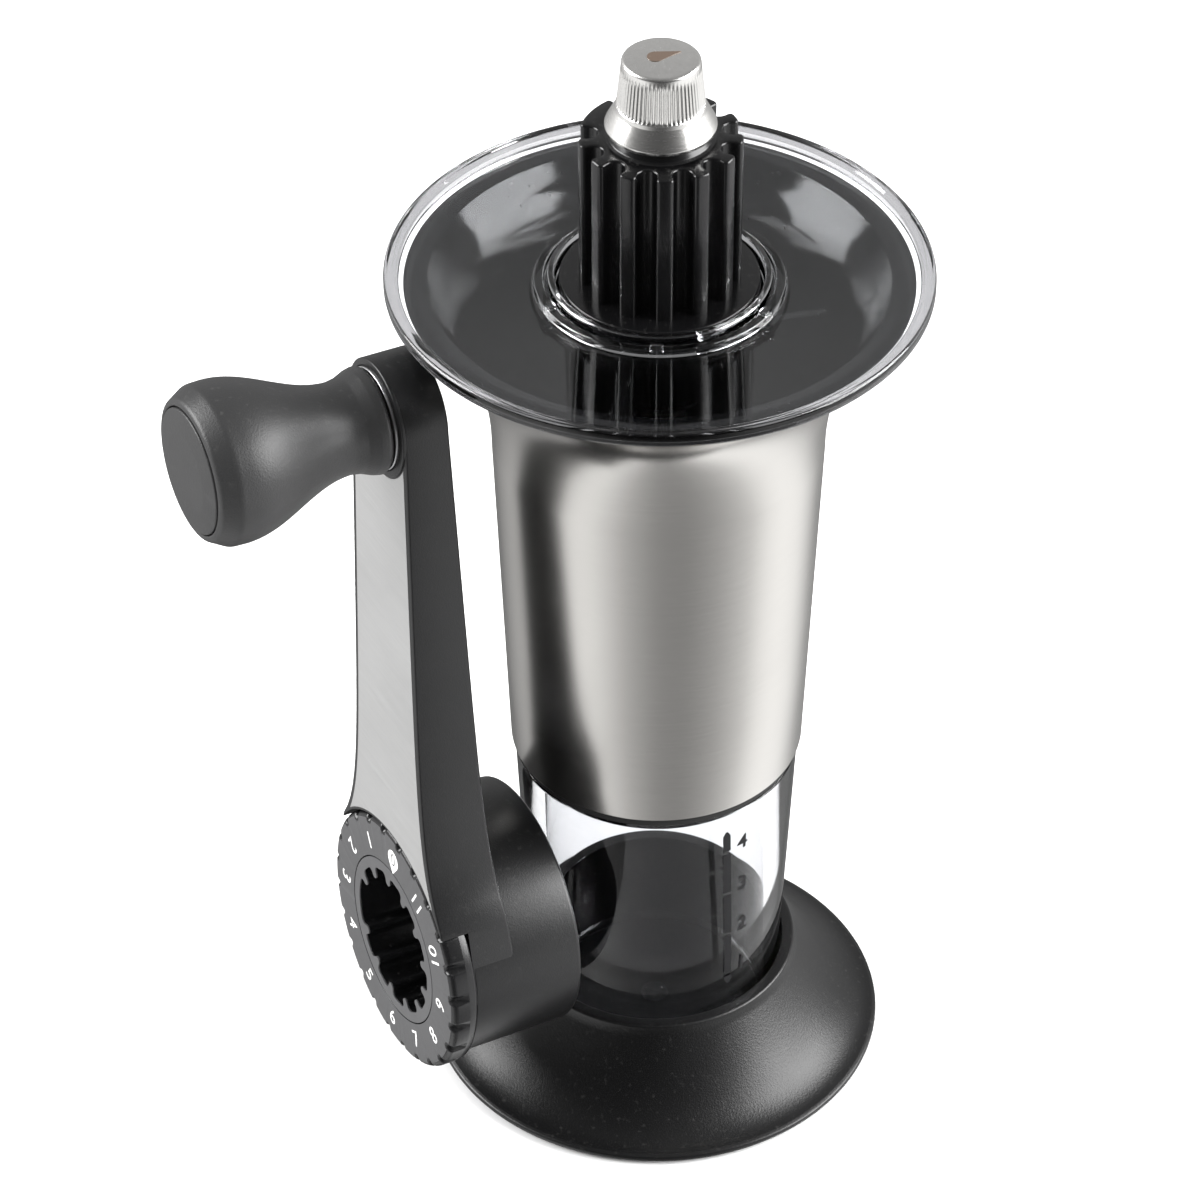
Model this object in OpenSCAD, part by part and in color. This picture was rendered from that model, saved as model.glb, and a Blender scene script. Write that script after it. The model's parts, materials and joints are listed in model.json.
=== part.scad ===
// Hand crank coffee grinder with a clear jar, a steel mill head, a splined drive drum,
// a grind adjuster and a loose crank that leans against the flare of the head.
// Millimetres, +Z up. Origin: centre of the foot on the table. The front faces -Y.

/* [Foot and jar] */
// Radius of the foot where it meets the table
foot_r = 43; // [40:0.5:48]
// Height of the foot's collar around the jar
foot_h = 20.2; // [18:0.2:22]
// Outer radius of the foot's collar
collar_r = 26.7; // [26.5:0.1:28]
// Height of the jar's shoulder above the table
jar_h = 70.2; // [60:0.2:80]
// Outer radius of the jar at its shoulder
jar_r = 26.1; // [25.9:0.1:26.3]
// Thickness of the jar's wall
jar_wall = 2.0; // [1.6:0.1:2.4]

/* [Mill head] */
// Height of the steel shell's straight part
shell_h = 66.8; // [60:0.2:72]
// Height of the flare above the straight part
flare_h = 32; // [28:0.5:34]
// How far the flare spreads
flare_out = 17; // [14:0.5:18]
// Thickness of the shell's sheet
shell_wall = 0.8; // [0.6:0.1:1.0]
// Radius of the lid's rim
lid_r = 47.3; // [46:0.1:50]
// Radius of the hopper's flange under the lid
flange_r = 44.1; // [43.6:0.1:44.4]

/* [Drive] */
// Radius of the splined drum over its teeth
drum_r = 13.9; // [13.5:0.1:14.1]
// Height of the drum above its collar disc
drum_h = 28.4; // [26:0.2:30]
// Number of tooth places around the drum, one of them without a groove
teeth = 13; // [11:1:15]
// Radius of each groove between the teeth
groove_r = 1.7; // [1.5:0.05:1.8]
// Radius of the drive shaft
shaft_r = 4.5; // [4:0.1:5]
// Radius of the adjusting rod inside the shaft
rod_r = 2.5; // [2:0.1:2.8]

/* [Crank] */
// Distance from the hub's axis to the grip's axis
arm_len = 116; // [105:1:125]
// Radius of the hub's housing
hub_r = 23.6; // [23:0.1:24.5]
// Depth of the hub along its axis
hub_l = 27.1; // [26:0.1:28]
// Radius of the numbered dial
dial_r = 24.8; // [24.2:0.1:25.2]
// Largest radius of the grip
grip_r = 14.3; // [13:0.1:16]
// Length of the grip from the arm's face
grip_l = 36; // [32:0.5:42]
// Number of thumb notches around the dial
notches = 24; // [18:2:30]

/* [Where the loose crank leans] */
// Distance of the dial's face from the jar's axis
lean_out = 56.7; // [56:0.1:62]
// Direction from the jar's axis to the dial's face, degrees
lean_turn = -152; // [-170:1:-120]
// Height of the hub's axis at the dial's face
lean_z = 42.2; // [42:0.1:48]
// How far the arm leans towards the head, degrees
lean_back = 2; // [0:0.5:2.5]
// How far the arm leans to the side, degrees
lean_side = 3; // [-4:0.5:6]

/* [Hidden] */
$fn = 96;

gap = 0.2;
run = 0.06;
pad_h = 0.6;
ledge_z = 1.6;
jar_slope = 0.041;
seal_h = 1.6;
head_z = jar_h + seal_h + 2 * gap;
shell_r0 = 26.8;
shell_slope = 0.038;
flare_z = head_z + shell_h;
flare_r0 = shell_r0 + shell_slope * shell_h;
flare_end = 78;
flange_z = flare_z + flare_h + 2;
flange_h = 1.2;
hub_top = flange_z - 1.4;
deck_z = head_z + 12.3;
burr_z = deck_z + 3;
burr_h = 16;
mill_top = burr_z + burr_h + 0.2;
disc_z = hub_top + 1.3;
drum_z = disc_z + 1.6;
drum_top = drum_z + drum_h;
knob_z = drum_top + 1.7;
knob_h = 13.8;
bush_r = 6.25;
groove_at = 12.4;
key_turn = 148;
rib_r = groove_r - 0.8;
plate_in = 1.3;

// A plain tube between two heights
module ring(ro, ri, z0, z1) {
    difference() {
        translate([0, 0, z0]) cylinder(r = ro, h = z1 - z0);
        translate([0, 0, z0 - 1]) cylinder(r = ri, h = z1 - z0 + 2);
    }
}

// Jar outer radius at a height
function jar_at(z) = jar_r - jar_slope * (jar_h - z);

// Foot height over its radius: flat at the rim, steep at the collar
function cove_z(r) = 2.2 + (foot_h - 3.4) * pow((foot_r - 0.8 - r) / (foot_r - 0.8 - collar_r), 1.7);

// Points of the flare, moved inwards by t along the curve's own normal
function flare_pts(t, steps = 16) = [for (i = [0 : steps]) let (a = flare_end * i / steps)
    [flare_r0 + flare_out * (1 - cos(a)) - t * cos(a), flare_z + flare_h * sin(a) + t * sin(a)]];

// Half width of the crank's arm at a distance from the hub
function arm_w(s) = min(20.2, 10.6 + 0.03 * (arm_len - s) + 6.6 * exp(-(s - 16) / 10));

// Puts a crank piece, drawn with its hub axis on +Z and its arm along +X, where it leans
module leaning() {
    translate([lean_out * cos(lean_turn) + 1.3, lean_out * sin(lean_turn) + 0.7, lean_z])
        rotate([0, 0, lean_turn])
            rotate([0, 90 - lean_back, 0])
                rotate([0, 0, 180 + lean_side])
                    children();
}

module foot() {
    steps = 12;
    color([0.05, 0.05, 0.055]) difference() {
        rotate_extrude() polygon(concat(
            [[0, pad_h], [foot_r - 0.6, pad_h], [foot_r, pad_h + 0.5],
             [foot_r, pad_h + 1.1], [foot_r - 0.25, pad_h + 1.5]],
            [for (i = [0 : steps]) let (r = foot_r - 0.8 - (foot_r - 0.8 - collar_r) * i / steps)
                [r, cove_z(r)]],
            [[collar_r, foot_h - 0.5], [collar_r - 0.5, foot_h], [jar_at(foot_h) + 0.5, foot_h],
             [jar_at(foot_h) + 0.3, foot_h - 0.3], [jar_at(ledge_z) + 0.3, ledge_z],
             [jar_at(ledge_z) - 1.6, ledge_z], [jar_at(ledge_z) - 1.6, ledge_z - 0.4],
             [0, ledge_z - 0.4]]));
        ring(foot_r - 1.9, foot_r - 5.1, -1, pad_h + 0.6);
    }
}

module foot_pad() {
    color([0.09, 0.09, 0.09]) ring(foot_r - 2, foot_r - 5, 0, pad_h + 0.6);
}

module jar() {
    neck_r = 24.2;
    neck_h = 11.4;
    color([0.92, 0.94, 0.95, 0.3]) rotate_extrude() polygon([
        [0, ledge_z], [jar_at(ledge_z) - 1.2, ledge_z], [jar_at(ledge_z) - 0.35, ledge_z + 0.35],
        [jar_at(ledge_z + 1.2), ledge_z + 1.2], [jar_r, jar_h - 0.3], [jar_r - 0.3, jar_h],
        [neck_r, jar_h], [neck_r, jar_h + 4], [neck_r + 0.35, jar_h + 4.6],
        [neck_r + 0.35, jar_h + 5.4], [neck_r, jar_h + 6], [neck_r, jar_h + neck_h - 0.4],
        [neck_r - 0.4, jar_h + neck_h], [neck_r - 2.2, jar_h + neck_h], [neck_r - 2.2, jar_h - 0.5],
        [jar_at(jar_h - 4) - jar_wall, jar_h - 4], [jar_at(ledge_z + 4) - jar_wall, ledge_z + 4],
        [jar_at(ledge_z + 4) - jar_wall - 2, ledge_z + 2], [0, ledge_z + 2]]);
}

module jar_seal() {
    color([0.03, 0.03, 0.03]) ring(jar_r, 24.6, jar_h + gap, jar_h + gap + seal_h);
}

module steel_shell() {
    color([0.72, 0.71, 0.69]) rotate_extrude() polygon(concat(
        [[shell_r0 - 0.4, head_z], [shell_r0, head_z + 0.6]],
        flare_pts(0),
        [for (i = [0 : 16]) flare_pts(shell_wall)[16 - i]],
        [[shell_r0 - shell_wall, head_z + 0.6], [shell_r0 - shell_wall, head_z]]));
}

module hopper() {
    wall = 1.6;
    outer = shell_wall + 0.15;
    inner = outer + wall;
    low_z = 112;
    function in_r(z) = shell_r0 + shell_slope * (z - head_z) - inner;
    color([0.04, 0.04, 0.045]) difference() {
        rotate_extrude() polygon(concat(
            [[16.8, mill_top + 1.8], [in_r(mill_top) + wall, mill_top + 1.8]],
            flare_pts(outer),
            [[flange_r, flange_z - flange_h], [flange_r, flange_z], [flange_r - 4.2, flange_z]],
            [for (i = [0 : 14]) flare_pts(inner)[14 - i]],
            [[in_r(low_z + 16), low_z + 16], [16.8, low_z - 2]]));
        for (a = [0 : 120 : 240]) rotate([0, 0, a + 30])
            translate([22.4, 0, mill_top]) cylinder(r = 2.5, h = 3.6);
    }
}

// Three ribs around a bearing post: r0 and r1 are their reach at the bottom and at the top
module bridge_ribs(z0, z1, r0, r1) {
    for (a = [11 : 120 : 251]) rotate([0, 0, a]) rotate([90, 0, 0]) translate([0, 0, -1])
        linear_extrude(2) polygon([[7, z0], [r0, z0], [r1, z1], [7, z1]]);
}

module upper_bridge() {
    color([0.04, 0.04, 0.045]) difference() {
        union() {
            translate([0, 0, 152]) cylinder(r = 8.5, h = hub_top - 152);
            translate([0, 0, hub_top - 2]) cylinder(r = 17, h = 2);
            bridge_ribs(153, 162, 28.2, 31.4);
        }
        translate([0, 0, 118]) cylinder(r = bush_r + 0.05, h = 60);
    }
}

module lower_bridge() {
    color([0.04, 0.04, 0.045]) difference() {
        union() {
            translate([0, 0, 119.5]) cylinder(r = 8.5, h = 9);
            bridge_ribs(120, 126, 21.7, 24.9);
        }
        translate([0, 0, 118]) cylinder(r = bush_r + 0.05, h = 60);
    }
}

module mill_body() {
    color([0.06, 0.06, 0.065]) difference() {
        translate([0, 0, head_z]) cylinder(r = shell_r0 - shell_wall - 0.1, h = mill_top - head_z);
        translate([0, 0, head_z - 1]) cylinder(r = 24.8, h = deck_z - head_z + 1);
        translate([0, 0, head_z]) cylinder(r = 16.9, h = 60);
        translate([0, 0, burr_z]) cylinder(r = 19.05, h = 60);
        for (a = [0 : 120 : 240]) rotate([0, 0, a + 30])
            translate([22.4, 0, mill_top - 8]) cylinder(r = 1.2, h = 9);
    }
}

module outer_burr() {
    color([0.9, 0.89, 0.86]) difference() {
        translate([0, 0, burr_z]) cylinder(r = 19, h = burr_h);
        translate([0, 0, burr_z - 0.01]) cylinder(r1 = 15.6, r2 = 11.2, h = burr_h * 0.62);
        translate([0, 0, burr_z + burr_h * 0.62 - 0.02]) cylinder(r1 = 11.2, r2 = 16.5, h = burr_h);
        for (a = [0 : 30 : 330]) rotate([0, 0, a])
            translate([15.7, 0, burr_z - 1]) rotate([0, -22, 8]) cylinder(r = 0.7, h = 30);
    }
}

module burr_retainer() {
    color([0.7, 0.7, 0.7]) difference() {
        ring(25.2, 17.2, mill_top, mill_top + 1.6);
        for (a = [0 : 120 : 240]) rotate([0, 0, a + 30])
            translate([22.4, 0, mill_top - 1]) cylinder(r = 1.25, h = 4);
    }
}

module burr_screws() {
    color([0.75, 0.75, 0.76]) for (a = [0 : 120 : 240]) rotate([0, 0, a + 30])
        translate([22.4, 0, 0]) {
            translate([0, 0, mill_top - 7.5]) cylinder(r = 1.2, h = 9.2);
            difference() {
                translate([0, 0, mill_top + 1.6]) cylinder(r = 2.2, h = 1.6);
                translate([0, 0, mill_top + 2.4]) cylinder(r = 1, h = 2, $fn = 6);
            }
        }
}

module upper_bush() {
    color([0.76, 0.62, 0.36]) {
        ring(bush_r, shaft_r + run, 154, hub_top);
        ring(7.4, shaft_r + run, hub_top, hub_top + 0.4);
    }
}

module lower_bush() {
    color([0.76, 0.62, 0.36]) ring(bush_r, shaft_r + run, 119.8, 128.3);
}

// Section of one groove, or of the rib that fits it: round at its bottom, open outwards
module spline_bar(r) {
    translate([groove_at, 0]) circle(r = r, $fn = 48);
    translate([groove_at, -r]) square([6, 2 * r]);
}

module collar_disc() {
    color([0.035, 0.035, 0.04]) {
        ring(9, shaft_r, hub_top + 0.6, disc_z + 0.1);
        ring(17.3, shaft_r, disc_z, drum_z);
    }
}

module spline_drum() {
    color([0.035, 0.035, 0.04]) difference() {
        union() {
            translate([0, 0, drum_z]) linear_extrude(drum_h) difference() {
                circle(r = drum_r);
                for (i = [1 : teeth - 1]) rotate(key_turn + i * 360 / teeth) spline_bar(groove_r);
            }
            translate([0, 0, drum_top - 0.1]) cylinder(r = 8.6, h = 1.5);
        }
        translate([0, 0, hub_top - 1]) cylinder(r = shaft_r, h = 60);
        translate([6.8, 0, drum_top - 5]) cylinder(r = 1.1, h = 10, $fn = 32);
    }
}

module drive_shaft() {
    color([0.7, 0.7, 0.72]) difference() {
        translate([0, 0, 97]) cylinder(r = shaft_r, h = drum_top + 1.2 - 97);
        translate([0, 0, 90]) cylinder(r = rod_r + run, h = 130);
        translate([-6, -1.1, 99]) cube([12, 2.2, 5]);
    }
}

module spring_seat() {
    color([0.7, 0.7, 0.7]) ring(7.8, shaft_r, 117, 118.2);
}

module retaining_ring() {
    color([0.3, 0.3, 0.32]) ring(7, shaft_r, 150.4, 151.6);
}

module detent_ball() {
    color([0.8, 0.8, 0.8]) translate([6.8, 0, drum_top + 0.9]) sphere(r = 1, $fn = 32);
}

module detent_spring() {
    color([0.6, 0.6, 0.62]) translate([6.8, 0, drum_top - 4.9])
        linear_extrude(height = 4.6, twist = -360 * 5, slices = 90, $fn = 8)
            translate([0.72, 0]) circle(r = 0.2);
}

module inner_burr() {
    color([0.9, 0.89, 0.86]) difference() {
        union() {
            translate([0, 0, burr_z - 0.4]) cylinder(r = 15.0, h = 1);
            translate([0, 0, burr_z + 0.6]) cylinder(r1 = 15.0, r2 = 8.6, h = 14.8);
            translate([0, 0, burr_z + 15.4]) cylinder(r = 7.4, h = 2);
        }
        translate([0, 0, burr_z - 2]) cylinder(r = rod_r, h = 30);
        translate([0, 0, 96]) cylinder(r = shaft_r + run, h = 20);
        translate([0, 0, 101]) rotate([90, 0, 90]) translate([0, 0, -12]) cylinder(r = 1, h = 24, $fn = 32);
        for (a = [0 : 36 : 324]) rotate([0, 0, a])
            translate([15.6, 0, burr_z - 1]) rotate([0, -24, -10]) cylinder(r = 1, h = 30, $fn = 32);
    }
}

module adjust_rod() {
    color([0.72, 0.72, 0.74]) difference() {
        translate([0, 0, 80]) cylinder(r = rod_r, h = knob_z + 9.4 - 80);
        translate([0, 0, 101]) rotate([90, 0, 90]) translate([0, 0, -12]) cylinder(r = 1, h = 24, $fn = 32);
    }
}

module drive_pin() {
    color([0.7, 0.7, 0.72]) translate([0, 0, 101]) rotate([90, 0, 90])
        translate([0, 0, -7.2]) cylinder(r = 1, h = 14.4, $fn = 32);
}

module burr_nut() {
    color([0.7, 0.7, 0.72]) difference() {
        translate([0, 0, burr_z - 4.6]) cylinder(r = 5, h = 4.2, $fn = 6);
        translate([0, 0, 80]) cylinder(r = rod_r, h = 12);
    }
}

module burr_spring() {
    low = burr_z + 17.5;
    color([0.6, 0.6, 0.62]) translate([0, 0, low])
        linear_extrude(height = 116.9 - low, twist = -360 * 4, slices = 120, $fn = 10)
            translate([6.2, 0]) circle(r = 0.55);
}

module adjuster_knob() {
    grips = 60;
    color([0.8, 0.79, 0.77]) difference() {
        rotate_extrude() polygon([
            [0, knob_z], [9.3, knob_z], [9.5, knob_z + 0.4], [9.4, knob_z + 1],
            [7.8, knob_z + 4.3], [7.5, knob_z + 5], [6.75, knob_z + 12.1], [6.5, knob_z + 13.1],
            [6, knob_z + knob_h], [0, knob_z + knob_h]]);
        for (i = [0 : grips - 1]) rotate([0, 0, i * 360 / grips])
            translate([7.63, 0, knob_z + 5.1]) rotate([0, -6, 0]) cylinder(r = 0.25, h = 7, $fn = 16);
        translate([0, 0, knob_z - 1]) cylinder(r = shaft_r - 0.5, h = 12);
        rotate_extrude() translate([6.8, knob_z - 0.7]) circle(r = 1.3, $fn = 32);
        translate([0, 0, knob_z + knob_h - 0.3]) linear_extrude(1) teardrop_mark(0);
    }
}

// Teardrop with its tip towards +X
module teardrop_mark(t) {
    translate([-0.95, 0]) rotate(21.8) {
        circle(r = 1.4 - t, $fn = 48);
        polygon([[0.42, 1.33 - t], [0.42, -1.33 + t], [4.68 - t, 0]]);
    }
}

module knob_insert() {
    color([0.78, 0.6, 0.3]) ring(shaft_r - 0.5, rod_r + run, knob_z + 1, knob_z + 9);
}

module knob_mark() {
    color([0.2, 0.14, 0.1]) translate([0, 0, knob_z + knob_h - 0.3])
        linear_extrude(0.3) teardrop_mark(0.02);
}

module lid() {
    top = flange_z + 2.8;
    color([0.92, 0.94, 0.95, 0.3]) rotate_extrude() polygon([
        [17.9, flange_z - 1.8], [19.9, flange_z - 2], [21.4, flange_z - 2],
        [40, flange_z + 0.3], [44.9, flange_z + 0.3], [44.9, flange_z - 0.1],
        [46.6, flange_z - 0.1], [lid_r, flange_z + 0.6], [lid_r, top - 0.5],
        [lid_r - 0.5, top], [lid_r - 1.4, top], [lid_r - 2.1, top - 0.5],
        [41.5, top - 0.8], [21.9, flange_z - 0.2], [21.3, flange_z + 0.9],
        [20.1, flange_z + 0.9], [19.9, flange_z - 0.1], [19.4, flange_z - 0.1],
        [19.2, flange_z + 1.9], [18.1, flange_z + 1.9], [17.9, flange_z + 1.5]]);
}

// Outline of the arm, grown or shrunk by a margin, from a start to the round end
module arm_outline(t, s0) {
    steps = 14;
    end_r = arm_w(arm_len) - t;
    pts = [for (i = [0 : steps]) let (s = s0 + (arm_len - s0) * i / steps) [s, arm_w(s) - t]];
    polygon(concat(pts, [for (a = [75 : -15 : -75]) [arm_len + end_r * cos(a), end_r * sin(a)]],
        [for (i = [0 : steps]) [pts[steps - i][0], -pts[steps - i][1]]]));
}

module crank_arm() {
    color([0.04, 0.04, 0.045]) leaning() difference() {
        union() {
            translate([0, 0, -hub_l]) cylinder(r = hub_r, h = hub_l - 5.4);
            intersection() {
                translate([0, 0, -40]) linear_extrude(40) arm_outline(0, 12);
                rotate([90, 0, 0]) translate([0, 0, -30]) linear_extrude(60) polygon([
                    [0, 0], [arm_len + 20, 0], [arm_len + 20, -7.4], [12, -13.7], [0, -13.7]]);
            }
        }
        translate([0, 0, -5.4]) cylinder(r = dial_r + 0.5, h = 10);
        translate([0, 0, -6.5]) cylinder(r = 22.1, h = 2);
        translate([0, 0, -hub_l - 1]) cylinder(r = 16.25, h = 60);
        translate([0, 0, -1]) linear_extrude(2) arm_outline(plate_in - 0.1, 12);
        translate([arm_len, 0, -12]) cylinder(r = 3.02, h = 20);
        translate([arm_len, 0, -20]) cylinder(r = 5.2, h = 14);
        for (a = [45, 165, 285]) rotate([0, 0, a])
            translate([19.8, 0, -10]) cylinder(r = 1.1, h = 8, $fn = 32);
    }
}

module arm_plate() {
    color([0.72, 0.72, 0.71]) leaning() difference() {
        translate([0, 0, -0.9]) linear_extrude(0.9) arm_outline(plate_in, 14);
        translate([0, 0, -2]) cylinder(r = dial_r + 1, h = 4);
        translate([arm_len, 0, -2]) cylinder(r = 3.3, h = 4);
    }
}

module hub_liner() {
    color([0.025, 0.025, 0.03]) leaning() {
        translate([0, 0, -hub_l + 0.3]) linear_extrude(hub_l - 0.5) {
            difference() {
                circle(r = 16.2);
                circle(r = drum_r + 0.3);
            }
            for (i = [1 : teeth - 1]) rotate(90 + i * 360 / teeth)
                intersection() {
                    translate([0.3, 0]) spline_bar(rib_r);
                    circle(r = 15);
                }
        }
        difference() {
            ring(22, 16.1, -6.4, -5.5);
            for (a = [45, 165, 285]) rotate([0, 0, a])
                translate([19.8, 0, -10]) cylinder(r = 1.15, h = 8, $fn = 32);
        }
    }
}

module liner_screws() {
    color([0.7, 0.7, 0.72]) leaning() for (a = [45, 165, 285]) rotate([0, 0, a])
        translate([19.8, 0, -9.9]) cylinder(r = 1.1, h = 4.4, $fn = 32);
}

module grip_axle() {
    color([0.75, 0.75, 0.77]) leaning() translate([arm_len, 0, 0]) {
        translate([0, 0, -7.8]) cylinder(r = 3, h = 37.8);
        translate([0, 0, 30]) cylinder(r = 4.4, h = 1.4);
    }
}

module grip_ring() {
    color([0.8, 0.8, 0.8]) leaning() translate([arm_len, 0, 0]) ring(9.2, 3.02, 0.02, 1.1);
}

module axle_clip() {
    color([0.3, 0.3, 0.32]) leaning() translate([arm_len, 0, 0]) ring(4.8, 3, -7.4, -6.4);
}

module dial_ring() {
    color([0.16, 0.16, 0.165]) leaning() difference() {
        translate([0, 0, -5.1]) cylinder(r = dial_r, h = 5.1);
        translate([0, 0, -8]) cylinder(r = 16.3, h = 12);
        for (i = [0 : notches - 1]) rotate([0, 0, (i + 0.5) * 360 / notches])
            translate([dial_r + 1.3, 0, -2.6]) cylinder(r = 1.9, h = 6, $fn = 32);
    }
}

module grip() {
    steps = 14;
    function swell(x) = 8.2 + (grip_r - 8.2) * (1 - cos(180 * min(1, x))) / 2;
    color([0.13, 0.13, 0.135]) leaning() translate([arm_len, 0, 0]) rotate_extrude() polygon(concat(
        [[3.08, 1.4], [9.6, 1.4], [9.9, 1.8], [9.6, 2.9], [8.7, 5.2]],
        [for (i = [0 : steps]) let (z = 7.4 + (grip_l - 14.4) * i / steps)
            [swell((z - 7.4) / (grip_l - 14.4)), z]],
        [[grip_r - 0.25, grip_l - 5.2], [grip_r - 0.95, grip_l - 3], [12.3, grip_l - 1.4],
         [11.6, grip_l - 0.9], [11.2, grip_l - 0.9], [11.2, grip_l - 2.6], [5.2, grip_l - 2.6],
         [5.2, 29.6], [3.08, 29.6]]));
}

module grip_cap() {
    color([0.12, 0.12, 0.125]) leaning() translate([arm_len, 0, 0]) rotate_extrude() polygon([
        [0, grip_l - 2.5], [11.1, grip_l - 2.5], [11.1, grip_l - 0.8], [10.6, grip_l - 0.45],
        [7, grip_l - 0.12], [0, grip_l]]);
}

foot();
foot_pad();
jar();
jar_seal();
steel_shell();
hopper();
upper_bridge();
lower_bridge();
mill_body();
outer_burr();
burr_retainer();
burr_screws();
upper_bush();
lower_bush();
collar_disc();
spline_drum();
drive_shaft();
spring_seat();
retaining_ring();
detent_ball();
detent_spring();
inner_burr();
adjust_rod();
drive_pin();
burr_nut();
burr_spring();
adjuster_knob();
knob_insert();
knob_mark();
lid();
crank_arm();
arm_plate();
hub_liner();
liner_screws();
grip_axle();
grip_ring();
axle_clip();
dial_ring();
grip();
grip_cap();
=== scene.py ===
"""Looks of a hand crank coffee grinder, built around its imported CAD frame.

Every piece is turned, extruded or carved in the row frame, in metres, from sizes that the
frame gives, and rides on the CAD body it belongs to. The workings inside keep their CAD
meshes and get finishes of their own.
"""

import json
import logging
import math
from collections.abc import Callable, Iterable, Sequence
from dataclasses import dataclass, field
from enum import Enum
from typing import Any

import bmesh
import bpy
from mathutils import Matrix, Vector


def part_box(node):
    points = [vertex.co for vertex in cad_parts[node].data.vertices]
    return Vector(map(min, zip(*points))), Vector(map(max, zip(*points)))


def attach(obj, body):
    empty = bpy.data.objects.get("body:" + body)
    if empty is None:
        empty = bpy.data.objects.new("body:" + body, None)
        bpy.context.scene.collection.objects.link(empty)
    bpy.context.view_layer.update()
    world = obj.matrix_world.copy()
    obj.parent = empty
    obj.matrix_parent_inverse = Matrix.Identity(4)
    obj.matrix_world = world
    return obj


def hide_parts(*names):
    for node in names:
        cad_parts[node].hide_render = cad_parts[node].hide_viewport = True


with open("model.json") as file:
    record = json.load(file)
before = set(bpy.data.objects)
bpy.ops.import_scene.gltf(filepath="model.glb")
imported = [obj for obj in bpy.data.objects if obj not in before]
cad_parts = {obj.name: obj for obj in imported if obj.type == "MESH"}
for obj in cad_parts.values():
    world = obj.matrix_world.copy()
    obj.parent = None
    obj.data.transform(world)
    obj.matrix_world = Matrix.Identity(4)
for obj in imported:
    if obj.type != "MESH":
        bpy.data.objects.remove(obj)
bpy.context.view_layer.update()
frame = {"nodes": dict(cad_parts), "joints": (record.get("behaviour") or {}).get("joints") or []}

LOG = logging.getLogger("grinder")
MM = 0.001
PRINT_DEPTH = 0.04
CAPITAL_SHARE = 0.72
SHARP_DEG = 38.0
NEARLY_FLAT = math.radians(88.0)
MERGE_DISTANCE = 1e-7
SAME_HEIGHT = 1e-6
FULL_TURN = 2.0 * math.pi
Colour = tuple[float, float, float]
Point2 = tuple[float, float]


# ---------------------------------------------------------------- shapes


@dataclass(frozen=True)
class Corner:
    """One corner of a turned outline: radius, height and the fillet that rounds it, in mm."""

    r: float
    z: float
    fillet: float = 0.0


def filleted(corners: Sequence[Corner], closed: bool, steps: int = 5) -> list[Point2]:
    """Rounds each corner of an outline with an arc of its fillet.

    Args:
        corners: the outline's corners in order, in mm.
        closed: whether the last corner joins the first.
        steps: how many spans an arc has.

    Returns:
        The outline's points as (radius, height) in mm.
    """
    points: list[Point2] = []
    count = len(corners)
    for i, corner in enumerate(corners):
        at_end = not closed and i in (0, count - 1)
        if corner.fillet <= 0.0 or at_end:
            points.append((corner.r, corner.z))
            continue
        here = Vector((corner.r, corner.z))
        before = Vector((corners[i - 1].r, corners[i - 1].z)) - here
        after = Vector((corners[(i + 1) % count].r, corners[(i + 1) % count].z)) - here
        half = 0.5 * before.angle(after, math.pi)
        if half > NEARLY_FLAT:
            points.append((corner.r, corner.z))
            continue
        reach = min(corner.fillet / math.tan(half), 0.48 * before.length, 0.48 * after.length)
        radius = reach * math.tan(half)
        start = here + before.normalized() * reach
        end = here + after.normalized() * reach
        centre = here + (before.normalized() + after.normalized()).normalized() * (
            radius / math.sin(half)
        )
        first, last = start - centre, end - centre
        sweep = first.angle_signed(last)
        for k in range(steps + 1):
            turned = first.copy()
            turned.rotate(Matrix.Rotation(-sweep * k / steps, 2))
            points.append(((centre + turned).x, (centre + turned).y))
    return points


def finish_mesh(
    name: str, bm: bmesh.types.BMesh, sharp_deg: float = SHARP_DEG
) -> bpy.types.Object:
    """Turns a bmesh into a smooth-shaded object at the origin.

    Args:
        name: the piece's name.
        bm: the mesh, already in the row frame in metres; it is freed.
        sharp_deg: edges that bend by more than this stay sharp.

    Returns:
        The new object, linked to the scene.
    """
    bmesh.ops.recalc_face_normals(bm, faces=bm.faces[:])
    for face in bm.faces:
        face.smooth = True
    mesh = bpy.data.meshes.new(name)
    bm.to_mesh(mesh)
    bm.free()
    mesh.set_sharp_from_angle(angle=math.radians(sharp_deg))
    piece = bpy.data.objects.new(name, mesh)
    bpy.context.scene.collection.objects.link(piece)
    return piece


def turned_bmesh(points: Sequence[Point2], closed: bool, segments: int) -> bmesh.types.BMesh:
    """Spins an outline about +Z.

    Args:
        points: (radius, height) in mm.
        closed: whether the outline is a loop, as for a ring.
        segments: how many steps the full turn has.

    Returns:
        A bmesh in metres with its doubles merged.
    """
    bm = bmesh.new()
    verts = [bm.verts.new((r * MM, 0.0, z * MM)) for r, z in points]
    edges = [bm.edges.new(pair) for pair in zip(verts, verts[1:])]
    if closed:
        edges.append(bm.edges.new((verts[-1], verts[0])))
    bmesh.ops.spin(
        bm,
        geom=verts + edges,
        cent=(0.0, 0.0, 0.0),
        axis=(0.0, 0.0, 1.0),
        angle=FULL_TURN,
        steps=segments,
        use_merge=True,
    )
    bmesh.ops.remove_doubles(bm, verts=bm.verts[:], dist=MERGE_DISTANCE)
    return bm


def ring_bmesh(corners: Sequence[Corner], segments: int) -> bmesh.types.BMesh:
    """Spins a closed outline of filleted corners about +Z."""
    return turned_bmesh(filleted(corners, True), True, segments)


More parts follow.
